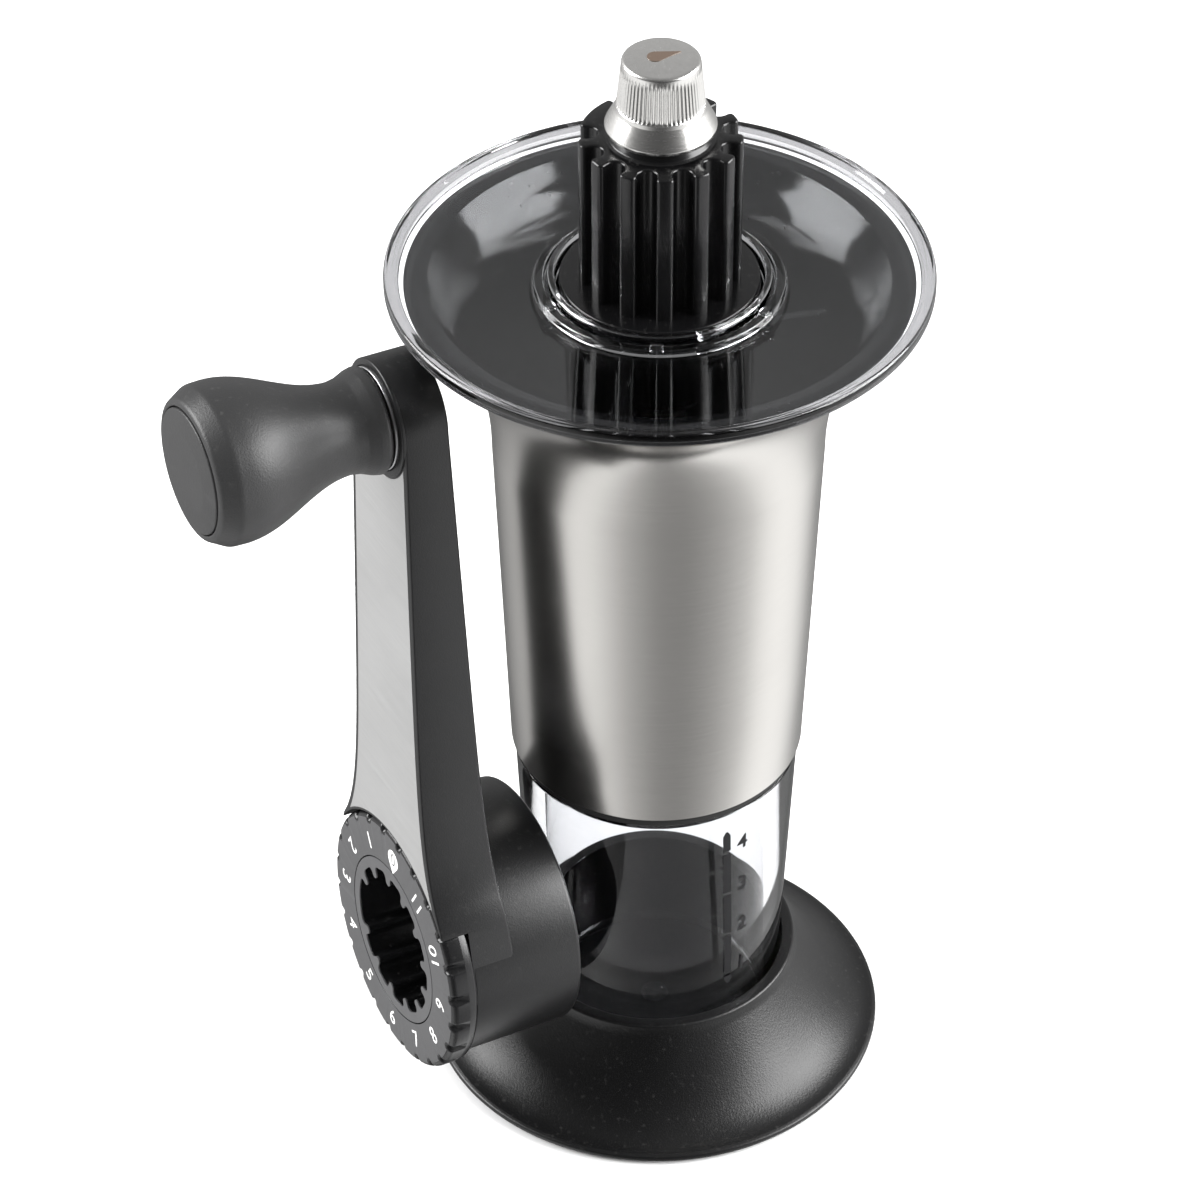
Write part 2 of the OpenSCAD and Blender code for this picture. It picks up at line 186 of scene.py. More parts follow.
def band(
    inner: float,
    outer: float,
    bottom: float,
    top: float,
    fillets: tuple[float, float, float, float] = (0.0, 0.0, 0.0, 0.0),
) -> list[Corner]:
    """Gives a plain ring's outline.

    Args:
        inner: its bore's radius in mm.
        outer: its outer radius.
        bottom: its lower height.
        top: its upper height.
        fillets: roundings from the bore's foot, round by the outside, to the bore's top.

    Returns:
        Its four corners.
    """
    spots = ((inner, bottom), (outer, bottom), (outer, top), (inner, top))
    return [Corner(r, z, fillet) for (r, z), fillet in zip(spots, fillets)]


def teardrop(body: float, tip: float, spans: int, turn: float = 0.0) -> list[Point2]:
    """Gives a teardrop's outline: a round body drawn out to a tip.

    Args:
        body: radius of the round part in mm.
        tip: distance of the tip from its middle.
        spans: how many spans the round part has.
        turn: direction of the tip in radians, from +X.

    Returns:
        Its points, the tip first.
    """
    touch = math.acos(body / tip)
    outline = [(tip * math.cos(turn), tip * math.sin(turn))]
    for i in range(spans + 1):
        angle = turn + touch + (FULL_TURN - 2.0 * touch) * i / spans
        outline.append((body * math.cos(angle), body * math.sin(angle)))
    return outline


def turned(
    name: str,
    corners: Sequence[Corner],
    closed: bool = True,
    segments: int = 144,
    place: Matrix | None = None,
    steps: int = 5,
) -> bpy.types.Object:
    """Makes a turned piece from filleted corners.

    Args:
        name: the piece's name.
        corners: its outline in mm.
        closed: whether the outline is a loop.
        segments: steps of the full turn.
        place: where the piece's own frame stands in the row frame.
        steps: spans of each fillet.

    Returns:
        The finished object.
    """
    bm = turned_bmesh(filleted(corners, closed, steps), closed, segments)
    if place is not None:
        bmesh.ops.transform(bm, matrix=place, verts=bm.verts[:])
    return finish_mesh(name, bm)


def raise_faces(bm: bmesh.types.BMesh, faces: Sequence[Any], height: float) -> None:
    """Extrudes faces along +Z by a height in mm."""
    made = bmesh.ops.extrude_face_region(bm, geom=faces, use_keep_orig=True)
    lifted = [g for g in made["geom"] if isinstance(g, bmesh.types.BMVert)]
    bmesh.ops.translate(bm, verts=lifted, vec=(0.0, 0.0, height * MM))


def prism_bmesh(outline: Sequence[Point2], bottom: float, top: float) -> bmesh.types.BMesh:
    """Extrudes a flat outline along +Z.

    Args:
        outline: (x, y) in mm, once round.
        bottom: height of its lower face in mm.
        top: height of its upper face in mm.

    Returns:
        A closed bmesh in metres.
    """
    bm = bmesh.new()
    face = bm.faces.new([bm.verts.new((x * MM, y * MM, bottom * MM)) for x, y in outline])
    raise_faces(bm, [face], top - bottom)
    bmesh.ops.recalc_face_normals(bm, faces=bm.faces[:])
    return bm


def bevel_where(
    bm: bmesh.types.BMesh,
    chosen: Callable[[bmesh.types.BMEdge], bool],
    width: float,
    segments: int = 3,
) -> None:
    """Rounds the edges that a test picks.

    Args:
        bm: the mesh to change.
        chosen: says whether an edge is rounded.
        width: how wide the rounding is, in mm.
        segments: how many faces it has.
    """
    edges = [edge for edge in bm.edges if chosen(edge)]
    bmesh.ops.bevel(
        bm,
        geom=edges,
        offset=width * MM,
        offset_type="OFFSET",
        segments=segments,
        profile=0.5,
        affect="EDGES",
        clamp_overlap=True,
        material=-1,
    )


def edge_at_height(height: float) -> Callable[[bmesh.types.BMEdge], bool]:
    """Gives a test for edges that lie flat at a height in mm."""

    def test(edge: bmesh.types.BMEdge) -> bool:
        """Says whether both ends lie at the height."""
        return all(abs(v.co.z - height * MM) < SAME_HEIGHT for v in edge.verts)

    return test


def block(
    size: tuple[float, float, float], middle: tuple[float, float], turn: float, rounding: float
) -> bmesh.types.BMesh:
    """Makes a rounded block that stands off the +Z axis.

    Args:
        size: its length outwards, its width and its height in mm.
        middle: distance of its middle from the axis and the middle's height.
        turn: its direction in degrees, from +X.
        rounding: width of the rounding of all its edges.

    Returns:
        The block as a bmesh in metres.
    """
    bm = bmesh.new()
    bmesh.ops.create_cube(bm, size=1.0)
    grow = Matrix.Diagonal((*(side * MM for side in size), 1.0))
    lift = Matrix.Translation((middle[0] * MM, 0.0, middle[1] * MM))
    swing = Matrix.Rotation(math.radians(turn), 4, "Z")
    bmesh.ops.transform(bm, matrix=swing @ lift @ grow, verts=bm.verts[:])
    bevel_where(bm, lambda edge: True, rounding, 2)
    return bm


def lettering(
    name: str, text: str, size: float, places: Sequence[Matrix], bold: float = 0.0
) -> bpy.types.Object:
    """Makes one mesh of a text repeated at several places, or of several texts.

    Args:
        name: the piece's name.
        text: the texts, one per place, split by spaces.
        size: height of a capital in mm.
        places: where each text's middle stands, with its face along the place's +Z.
        bold: how much the strokes are thickened, as a share of the size.

    Returns:
        The finished object.
    """
    bm = bmesh.new()
    for word, place in zip(text.split(), places):
        curve = bpy.data.curves.new(name, "FONT")
        curve.body = word
        curve.size = size * MM / CAPITAL_SHARE
        curve.align_x, curve.align_y = "CENTER", "CENTER"
        curve.extrude = 0.5 * PRINT_DEPTH * MM
        curve.resolution_u = 4
        curve.offset = bold * size * MM
        holder = bpy.data.objects.new(name, curve)
        bpy.context.scene.collection.objects.link(holder)
        bpy.context.view_layer.update()
        mesh = bpy.data.meshes.new_from_object(holder)
        mesh.transform(place)
        bm.from_mesh(mesh)
        bpy.data.objects.remove(holder)
        bpy.data.curves.remove(curve)
        bpy.data.meshes.remove(mesh)
    return finish_mesh(name, bm)


def joined(name: str, parts: Iterable[bmesh.types.BMesh]) -> bpy.types.Object:
    """Puts several bmeshes into one object.

    Args:
        name: the piece's name.
        parts: the bmeshes; each is freed.

    Returns:
        The finished object.
    """
    whole = bmesh.new()
    for part in parts:
        bmesh.ops.recalc_face_normals(part, faces=part.faces[:])
        mesh = bpy.data.meshes.new(name)
        part.to_mesh(mesh)
        part.free()
        whole.from_mesh(mesh)
        bpy.data.meshes.remove(mesh)
    return finish_mesh(name, whole)


# ---------------------------------------------------------------- node groups


class Graph:
    """A short hand for filling a node tree."""

    def __init__(self, tree: bpy.types.NodeTree) -> None:
        """Keeps the tree that the nodes go into."""
        self.tree = tree

    def add(self, kind: str, values: dict[str, Any] | None = None, **settings: Any) -> Any:
        """Adds a node.

        Args:
            kind: the node's class name.
            values: input sockets' values by name.
            **settings: the node's own properties.

        Returns:
            The new node.
        """
        node = self.tree.nodes.new(kind)
        for key, value in settings.items():
            setattr(node, key, value)
        for key, value in (values or {}).items():
            node.inputs[key].default_value = value
        return node

    def link(self, source: Any, target: Any) -> None:
        """Joins an output to an input."""
        self.tree.links.new(source, target)

    def feed(self, value: Any, socket: Any) -> None:
        """Links a socket to an input, or sets the input to a number or a colour."""
        if isinstance(value, bpy.types.NodeSocket):
            self.link(value, socket)
        elif isinstance(value, (int, float)):
            socket.default_value = value
        else:
            socket.default_value = (*value, 1.0)

    def math(self, operation: str, first: Any, second: Any = 0.0, clamp: bool = False) -> Any:
        """Adds a Math node.

        Args:
            operation: the node's operation.
            first: a socket or a number.
            second: a socket or a number.
            clamp: whether the result stays within 0 and 1.

        Returns:
            The node's output socket.
        """
        node = self.add("ShaderNodeMath", operation=operation, use_clamp=clamp)
        for socket, value in zip(node.inputs, (first, second)):
            self.feed(value, socket)
        return node.outputs[0]

    def remap(self, source: Any, start: Point2, span: Point2 = (0.0, 1.0)) -> Any:
        """Maps a value from one span onto another, held at the ends.

        Args:
            source: the value's socket.
            start: the values that become the span's ends.
            span: the ends.

        Returns:
            The mapped value's socket.
        """
        limits = {"From Min": start[0], "From Max": start[1], "To Min": span[0], "To Max": span[1]}
        node = self.add("ShaderNodeMapRange", limits)
        self.link(source, node.inputs["Value"])
        return node.outputs["Result"]

    def noise(self, where: Any, scale: Any, **values: float) -> Any:
        """Adds a noise texture.

        Args:
            where: the socket of its coordinates.
            scale: a socket or a number.
            **values: its other inputs, with the first letter in lower case.

        Returns:
            The socket of its value.
        """
        named = {key.capitalize(): value for key, value in values.items()}
        node = self.add("ShaderNodeTexNoise", named)
        self.feed(scale, node.inputs["Scale"])
        self.link(where, node.inputs["Vector"])
        return node.outputs["Fac"]

    def split(self, vector: Any) -> tuple[Any, Any, Any]:
        """Splits a vector socket into x, y and z."""
        node = self.add("ShaderNodeSeparateXYZ")
        self.link(vector, node.inputs[0])
        return tuple(node.outputs)

    def place(self, kind: str = "Object") -> Any:
        """Gives a socket of texture coordinates."""
        return self.add("ShaderNodeTexCoord").outputs[kind]

    def blend(self, factor: Any, first: Any, second: Any) -> Any:
        """Adds a colour mix and gives its output.

        Args:
            factor: a socket or a number.
            first: the colour at 0, a socket or three numbers.
            second: the colour at 1.

        Returns:
            The mixed colour's socket.
        """
        node = self.add("ShaderNodeMix", data_type="RGBA")
        pairs = ((node.inputs[0], factor), (node.inputs[6], first), (node.inputs[7], second))
        for socket, value in pairs:
            self.feed(value, socket)
        return node.outputs[2]


@dataclass(frozen=True)
class Socket:
    """One socket of a node group."""

    name: str
    kind: str = "NodeSocketFloat"
    value: float | None = None


def new_group(
    name: str, inputs: Sequence[Socket], outputs: Sequence[Socket]
) -> tuple[bpy.types.NodeTree, Graph, Any, Any]:
    """Starts a shader node group with its interface.

    Args:
        name: the group's name.
        inputs: its input sockets.
        outputs: its output sockets.

    Returns:
        The tree, its graph, and its input and output nodes.
    """
    tree = bpy.data.node_groups.new(name, "ShaderNodeTree")
    for direction, sockets in (("INPUT", inputs), ("OUTPUT", outputs)):
        for item in sockets:
            made = tree.interface.new_socket(
                name=item.name, in_out=direction, socket_type=item.kind
            )
            if item.value is not None:
                made.default_value = item.value
    graph = Graph(tree)
    return tree, graph, graph.add("NodeGroupInput"), graph.add("NodeGroupOutput")


def emboss(graph: Graph, enter: Any, leave: Any, mask: Any, depth: float) -> None:
    """Gives a group's mask out, and the normal that it makes as a relief.

    Args:
        graph: the group's graph.
        enter: its input node, with a Height.
        leave: its output node, with a Mask and a Normal.
        mask: the mask's socket.
        depth: the relief's full depth in mm.
    """
    bump = graph.add("ShaderNodeBump", {"Distance": depth * MM})
    graph.link(mask, bump.inputs["Height"])
    graph.link(enter.outputs["Height"], bump.inputs["Strength"])
    graph.link(mask, leave.inputs["Mask"])
    graph.link(bump.outputs["Normal"], leave.inputs["Normal"])


def make_grain_group() -> bpy.types.NodeTree:
    """Builds the fine pebbled grain of moulded plastic.

    Returns:
        A group giving a height mask and a normal.
    """
    tree, graph, enter, leave = new_group(
        "moulding grain",
        [Socket("Size", value=0.35), Socket("Height", value=0.3)],
        [Socket("Mask"), Socket("Normal", "NodeSocketVector")],
    )
    where = graph.place()
    scale = graph.math("DIVIDE", 1.0 / MM, enter.outputs["Size"])
    cells = graph.add("ShaderNodeTexVoronoi", feature="SMOOTH_F1")
    cells.inputs["Smoothness"].default_value = 0.7
    graph.link(where, cells.inputs["Vector"])
    graph.link(scale, cells.inputs["Scale"])
    fine = graph.noise(where, graph.math("MULTIPLY", scale, 1.7), detail=3.0, roughness=0.6)
    mixed = graph.math(
        "ADD",
        graph.math("MULTIPLY", cells.outputs["Distance"], 0.6),
        graph.math("MULTIPLY", fine, 0.5),
        clamp=True,
    )
    emboss(graph, enter, leave, mixed, 0.06)
    return tree


def make_brush_group() -> bpy.types.NodeTree:
    """Builds fine brushing that runs round +Z.

    Returns:
        A group giving a streak mask and a normal.
    """
    tree, graph, enter, leave = new_group(
        "round brushing",
        [Socket("Lines", value=9000.0), Socket("Height", value=0.12)],
        [Socket("Mask"), Socket("Normal", "NodeSocketVector")],
    )
    x, y, z = graph.split(graph.place())
    turn = graph.math("ARCTAN2", y, x)
    total: Any = 0.0
    for stretch, share in ((2.6, 0.45), (9.0, 0.35), (28.0, 0.2)):
        joined_up = graph.add("ShaderNodeCombineXYZ")
        graph.link(graph.math("MULTIPLY", turn, stretch), joined_up.inputs[0])
        graph.link(graph.math("MULTIPLY", z, enter.outputs["Lines"]), joined_up.inputs[1])
        joined_up.inputs[2].default_value = stretch
        streak = graph.noise(joined_up.outputs[0], 1.0, detail=2.0, roughness=0.7)
        total = graph.math("ADD", total, graph.math("MULTIPLY", streak, share))
    emboss(graph, enter, leave, total, 0.04)
    return tree


def make_wear_group() -> bpy.types.NodeTree:
    """Builds the lighter rub that shows along outer edges.

    Returns:
        A group giving a wear mask.
    """
    tree, graph, enter, leave = new_group(
        "edge rub", [Socket("Amount", value=0.3)], [Socket("Mask")]
    )
    shape = graph.add("ShaderNodeNewGeometry")
    edge = graph.remap(shape.outputs["Pointiness"], (0.505, 0.56))
    worn = graph.math("MULTIPLY", edge, graph.noise(graph.place(), 160.0, detail=4.0))
    graph.link(graph.math("MULTIPLY", worn, enter.outputs["Amount"], clamp=True), leave.inputs[0])
    return tree


def make_handling_group() -> bpy.types.NodeTree:
    """Builds the soft cloudy variation left by handling and settled dust.

    Returns:
        A group giving a smudge mask and a dust mask.
    """
    tree, graph, enter, leave = new_group(
        "handling", [Socket("Size", value=18.0)], [Socket("Smudge"), Socket("Dust")]
    )
    where = graph.place()
    scale = graph.math("DIVIDE", 1.0 / MM, enter.outputs["Size"])
    graph.link(graph.noise(where, scale, detail=3.0, distortion=0.6), leave.inputs["Smudge"])
    specks = graph.remap(graph.noise(where, 900.0, detail=2.0), (0.62, 0.8))
    facing = graph.split(graph.add("ShaderNodeNewGeometry").outputs["Normal"])
    upward = graph.math("MULTIPLY", facing[2], 1.0, clamp=True)
    graph.link(graph.math("MULTIPLY", upward, specks, clamp=True), leave.inputs["Dust"])
    return tree


class Effect(Enum):
    """The shared effects, each one node group."""

    GRAIN = "moulding grain"
    BRUSH = "round brushing"
    WEAR = "edge rub"
    HANDLING = "handling"


EFFECT_MAKERS: dict[Effect, Callable[[], bpy.types.NodeTree]] = {
    Effect.GRAIN: make_grain_group,
    Effect.BRUSH: make_brush_group,
    Effect.WEAR: make_wear_group,
    Effect.HANDLING: make_handling_group,
}


def effect(graph: Graph, which: Effect, **values: float) -> Any:
    """Adds a shared effect to a material.

    Args:
        graph: the material's graph.
        which: the effect.
        **values: its inputs, with the first letter in lower case.

    Returns:
        The group node.
    """
    tree = bpy.data.node_groups.get(which.value) or EFFECT_MAKERS[which]()
    node = graph.add("ShaderNodeGroup", node_tree=tree)
    for key, value in values.items():
        node.inputs[key.capitalize()].default_value = value
    return node


# ---------------------------------------------------------------- finishes


class Finish:
    """A surface finish that builds its material once."""

    name: str

    def fill(self, graph: Graph, shader: Any) -> None:
        """Adds the finish's nodes around the main shader."""
        raise NotImplementedError

    def cloud_colour(
        self, graph: Graph, shader: Any, smudge: Any, colour: Colour, share: float
    ) -> None:
        """Varies the colour with the smudges.

        Args:
            graph: the material's graph.
            shader: its main shader.
            smudge: the socket of the smudge mask.
            colour: the full colour.
            share: how bright the darkest places are against it.
        """
        shade = tuple(share * c for c in colour)
        graph.link(graph.blend(smudge, shade, colour), shader.inputs["Base Color"])

    def vary_rough(
        self, graph: Graph, shader: Any, source: Any, span: Point2, start: Point2 = (0.0, 1.0)
    ) -> None:
        """Drives the roughness with a mask.

        Args:
            graph: the material's graph.
            shader: its main shader.
            source: the mask's socket.
            span: roughness at the mask's low and high end.
            start: the mask's values at these ends.
        """
        graph.link(graph.remap(source, start, span), shader.inputs["Roughness"])

    def material(self) -> bpy.types.Material:
        """Gives the material, building it at first use."""
        found = bpy.data.materials.get(self.name)
        if found is not None:
            return found
        made = bpy.data.materials.new(self.name)
        made.use_nodes = True
        graph = Graph(made.node_tree)
        self.fill(graph, made.node_tree.nodes["Principled BSDF"])
        return made


@dataclass(frozen=True)
class Moulded(Finish):
    """Opaque moulded plastic or rubber."""

    name: str
    colour: Colour
    rough: float = 0.42
    spread: float = 0.08
    grain: float = 0.35
    height: float = 0.35
    rub: float = 0.25
    dust: float = 0.05
    specular: float = 0.5

    def fill(self, graph: Graph, shader: Any) -> None:
        """Adds grain, rub along the edges, dust and a cloudy roughness."""
        grain = effect(graph, Effect.GRAIN, size=self.grain, height=self.height)
        rub = effect(graph, Effect.WEAR, amount=self.rub)
        handling = effect(graph, Effect.HANDLING)
        light = tuple(min(1.0, 2.0 * c + 0.012) for c in self.colour)
        deep = tuple(0.86 * c for c in self.colour)
        base = graph.blend(grain.outputs["Mask"], deep, self.colour)
        base = graph.blend(rub.outputs["Mask"], base, light)
        dusty = graph.math("MULTIPLY", handling.outputs["Dust"], self.dust)
        base = graph.blend(dusty, base, (0.5, 0.49, 0.47))
        graph.link(base, shader.inputs["Base Color"])
        span = (self.rough - self.spread, self.rough + self.spread)
        self.vary_rough(graph, shader, handling.outputs["Smudge"], span)
        graph.link(grain.outputs["Normal"], shader.inputs["Normal"])
        shader.inputs["Specular IOR Level"].default_value = self.specular


@dataclass(frozen=True)
class Clear(Finish):
    """Clear glossy plastic with faint handling marks."""

    name: str
    tint: Colour = (0.93, 0.94, 0.955)
    ior: float = 1.49
    rough: float = 0.02
    smear: float = 0.05
    gloss: float = 0.0

    def fill(self, graph: Graph, shader: Any) -> None:
        """Adds faint smudges to a clear body's tint and roughness."""
        handling = effect(graph, Effect.HANDLING, size=24.0)
        smudge = handling.outputs["Smudge"]
        self.cloud_colour(graph, shader, smudge, self.tint, 0.97)
        span = (self.rough, self.rough + self.smear)
        self.vary_rough(graph, shader, smudge, span, (0.4, 0.8))
        shader.inputs["Transmission Weight"].default_value = 1.0
        shader.inputs["IOR"].default_value = self.ior
        shader.inputs["Coat Weight"].default_value = self.gloss


@dataclass(frozen=True)
class Brushed(Finish):
    """Metal brushed or turned round its axis."""

    name: str
    colour: Colour
    rough: float = 0.3
    spread: float = 0.08
    lines: float = 9000.0
    height: float = 0.12
    stretch: float = 0.6
    rub: float = 0.2

    def fill(self, graph: Graph, shader: Any) -> None:
        """Adds the brushing's lines to colour, roughness and normal."""
        brush = effect(graph, Effect.BRUSH, lines=self.lines, height=self.height)
        handling = effect(graph, Effect.HANDLING, size=30.0)
        rub = effect(graph, Effect.WEAR, amount=self.rub)
        deep = tuple(0.82 * c for c in self.colour)
        bright = tuple(min(1.0, 1.1 * c) for c in self.colour)
        base = graph.blend(brush.outputs["Mask"], deep, bright)
        base = graph.blend(rub.outputs["Mask"], base, (0.9, 0.9, 0.9))
        graph.link(base, shader.inputs["Base Color"])
        cloudy = graph.math("MULTIPLY", handling.outputs["Smudge"], 0.4)
        streaky = graph.math("ADD", graph.math("MULTIPLY", brush.outputs["Mask"], 0.6), cloudy)
        span = (self.rough - self.spread, self.rough + self.spread)
        self.vary_rough(graph, shader, streaky, span, (0.3, 0.7))
        graph.link(brush.outputs["Normal"], shader.inputs["Normal"])
        shader.inputs["Metallic"].default_value = 1.0
        if self.stretch > 0.0:
            shader.inputs["Anisotropic"].default_value = self.stretch
            tangent = graph.add("ShaderNodeTangent", direction_type="RADIAL", axis="Z")
            graph.link(tangent.outputs[0], shader.inputs["Tangent"])


@dataclass(frozen=True)
class Fired(Finish):
    """Fired ceramic of the burrs."""

    name: str
    colour: Colour = (0.8, 0.79, 0.75)
    rough: float = 0.5

    def fill(self, graph: Graph, shader: Any) -> None:
        """Adds a fine speckle and a slight grain."""
        grain = effect(graph, Effect.GRAIN, size=0.18, height=0.2)
        handling = effect(graph, Effect.HANDLING, size=6.0)
        self.cloud_colour(graph, shader, handling.outputs["Smudge"], self.colour, 0.9)
        graph.link(grain.outputs["Normal"], shader.inputs["Normal"])
        shader.inputs["Roughness"].default_value = self.rough


@dataclass(frozen=True)
class Printed(Finish):
    """Pad-printed ink, slightly uneven."""

    name: str
    colour: Colour
    rough: float = 0.5
    specular: float = 0.15

    def fill(self, graph: Graph, shader: Any) -> None:
        """Adds small thin places to the ink."""
        handling = effect(graph, Effect.HANDLING, size=1.5)
        self.cloud_colour(graph, shader, handling.outputs["Smudge"], self.colour, 0.93)
        shader.inputs["Roughness"].default_value = self.rough
        shader.inputs["Specular IOR Level"].default_value = self.specular


BLACK_SATIN = Moulded("satin black moulding", (0.006, 0.006, 0.0065), rough=0.36, grain=0.3)
FOOT_BLACK = Moulded(
    "black foot moulding", (0.003, 0.003, 0.0033), rough=0.37, grain=0.36, height=0.6, rub=0.2
)
BLACK_INNER = Moulded(
    "half gloss black moulding", (0.008, 0.008, 0.0095), rough=0.13, grain=0.6, height=0.04
)
BLACK_DRUM = Moulded(
    "black drum moulding", (0.003, 0.003, 0.0033), rough=0.24, grain=0.5, height=0.05, rub=0.2
)
# Painted light: the front faces of the dial and the liner in a lighter grey for the light they
# catch; their plastic is the black of their sides.
FRONT_PAINTED_LIGHT_GREY = Moulded("dial front grey, painted light", (0.068, 0.068, 0.07), rough=0.48, grain=0.25, height=0.12)
DIAL_BLACK = Moulded("dial edge black", (0.006, 0.006, 0.0065), rough=0.26, grain=0.3, height=0.1)
CHARCOAL = Moulded("charcoal grip", (0.026, 0.026, 0.0265), rough=0.42, grain=0.34, height=0.6)
RUBBER = Moulded("black rubber", (0.01, 0.01, 0.01), rough=0.72, grain=0.4, height=0.2)
MARK_BROWN = Moulded("brown inlay", (0.1, 0.07, 0.052), rough=0.45, grain=0.2, height=0.1)
CLEAR = Clear("clear plastic")
CLEAR_JAR = Clear("clear jar plastic", tint=(0.75, 0.755, 0.77), ior=1.12, gloss=0.4)
# Painted shade: the lid's outer margin in a dark tint; the plastic itself is as clear as the rest
# of the lid.
CLEAR_RIM_PAINTED_SHADE = Clear("clear plastic rim, painted shade", tint=(0.3, 0.3, 0.31))
STEEL = Brushed(
    "brushed shell steel", (0.64, 0.625, 0.6), rough=0.22, spread=0.06, lines=11000.0, height=0.12
)
KNOB_METAL = Brushed(
    "satin knob metal", (0.83, 0.82, 0.8), rough=0.25, lines=14000.0, height=0.05, stretch=0.3
)
PLATE = Brushed(
    "silver plate", (0.74, 0.74, 0.735), rough=0.42, lines=3000.0, height=0.03, stretch=0.0
)
TURNED_STEEL = Brushed("turned steel", (0.6, 0.6, 0.61), rough=0.3, stretch=0.0)
SPRING_STEEL = Brushed("spring steel", (0.32, 0.32, 0.34), rough=0.33, stretch=0.0)
BRASS = Brushed("turned brass", (0.72, 0.53, 0.25), rough=0.3, stretch=0.0)
CERAMIC = Fired("burr ceramic")
WHITE_PRINT = Printed("white print", (0.85, 0.85, 0.84))
BLACK_PRINT = Printed("black print", (0.012, 0.012, 0.013))


def dress(piece: bpy.types.Object, finish: Finish) -> None:
    """Gives a piece one material in all its slots."""
    piece.data.materials.clear()
    piece.data.materials.append(finish.material())


def mount(
    piece: bpy.types.Object,
    finish: Finish,
    body: str,
    stands_for: Sequence[str] = (),
) -> bpy.types.Object:
    """Dresses a piece, sets it on its body and reports it.

    Args:
        piece: the finished object.
        finish: its finish.
        body: the CAD body it rides on.
        stands_for: CAD nodes that it replaces.

    Returns:
        The same object.
    """
    dress(piece, finish)
    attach(piece, body)
    if stands_for:
        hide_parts(*stands_for)
    LOG.info("%s rides on %s, %d faces", piece.name, body, len(piece.data.polygons))
    return piece


# ---------------------------------------------------------------- reading the frame


def low(node: str) -> Vector:
    """Lowest corner of a CAD node in mm."""
    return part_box(node)[0] / MM


def high(node: str) -> Vector:
    """Highest corner of a CAD node in mm."""
    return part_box(node)[1] / MM


def measured(corner: Callable[[str], Vector], node: str, axis: str) -> Any:
    """Gives a dataclass field that reads one measure of a CAD node.

    Args:
        corner: low or high.
        node: the CAD node.
        axis: x, y or z.

    Returns:
        The field, in mm.
    """
    return field(default_factory=lambda: getattr(corner(node), axis))


def joint(name: str) -> dict[str, Any]:
    """A joint of the frame by name."""
    return next(j for j in frame["joints"] if j["name"] == name)


@dataclass(frozen=True)
class CrankFrame:
    """The crank's own frame: +Z along its axes out of the dial, +X from the hub to the grip."""

    hub: Matrix
    arm_len: float

    @classmethod
    def from_joints(cls) -> "CrankFrame":
        """Reads the frame from the dial's and the grip's joints."""
        centre = Vector(joint("dial_turn")["pos_m"])
        axis = Vector(joint("dial_turn")["axis"]).normalized()
        along = Vector(joint("grip_spin")["pos_m"]) - centre
        length = along.length
        along.normalize()
        across = axis.cross(along)
        turn = Matrix((along, across, axis)).transposed().to_4x4()
        return cls(Matrix.Translation(centre) @ turn, length / MM)

    @property
    def grip(self) -> Matrix:
        """Where the grip's own frame stands."""
        return self.hub @ Matrix.Translation((self.arm_len * MM, 0.0, 0.0))


# ---------------------------------------------------------------- foot and jar


@dataclass
class FlaredFoot:
    """The black foot that flares from its collar to a rolled rim."""

    rim_r: float = measured(high, "foot", "y")
    base_z: float = measured(low, "foot", "z")
    top_z: float = measured(high, "foot", "z")
    collar_r: float = 26.7
    bore_top: float = 24.37
    bore_low: float = 23.6
    ledge_z: float = 1.6
    ledge_in: float = 21.7
    ledge_step: float = 0.4
    cove_z: float = 2.2
    cove_end: float = 1.2
    rim_roll: float = 0.8
    pad_wide: float = 3.0
    curve: float = 1.7

    def cove(self, spans: int = 22) -> list[Corner]:
        """Gives the concave flank from the rim up to the collar."""
        start = self.rim_r - self.rim_roll
        run = start - self.collar_r
        rise = self.top_z - self.cove_end - self.cove_z
        shares = [i / spans for i in range(spans + 1)]
        return [
            Corner(start - run * share, self.cove_z + rise * share**self.curve)
            for share in shares
        ]

    def build(self) -> None:
        """Builds the foot and its rubber ring."""
        rim = [
            Corner(0.0, self.base_z),
            Corner(self.rim_r - 0.1, self.base_z, 0.6),
            Corner(self.rim_r, self.base_z + 1.2, 0.7),
            Corner(self.rim_r - self.rim_roll, self.base_z + 1.55, 0.4),
        ]
        collar = [
            Corner(self.collar_r, self.top_z, 0.6),
            Corner(self.bore_top, self.top_z, 0.3),
            Corner(self.bore_low, self.ledge_z),
            Corner(self.ledge_in, self.ledge_z, 0.1),
            Corner(self.ledge_in, self.ledge_z - self.ledge_step, 0.1),
            Corner(0.0, self.ledge_z - self.ledge_step),
        ]
        foot = turned("foot_shell", rim + self.cove()[1:] + collar, closed=False, segments=192)
        mount(foot, FOOT_BLACK, "stand", ["foot"])
        pad_low, pad_high = low("foot_pad"), high("foot_pad")
        inner, outer = pad_high.y - self.pad_wide, pad_high.y
        ring = band(inner, outer, pad_low.z, pad_high.z, (0.3, 0.3, 0.0, 0.0))
        mount(turned("foot_ring", ring), RUBBER, "stand", ["foot_pad"])


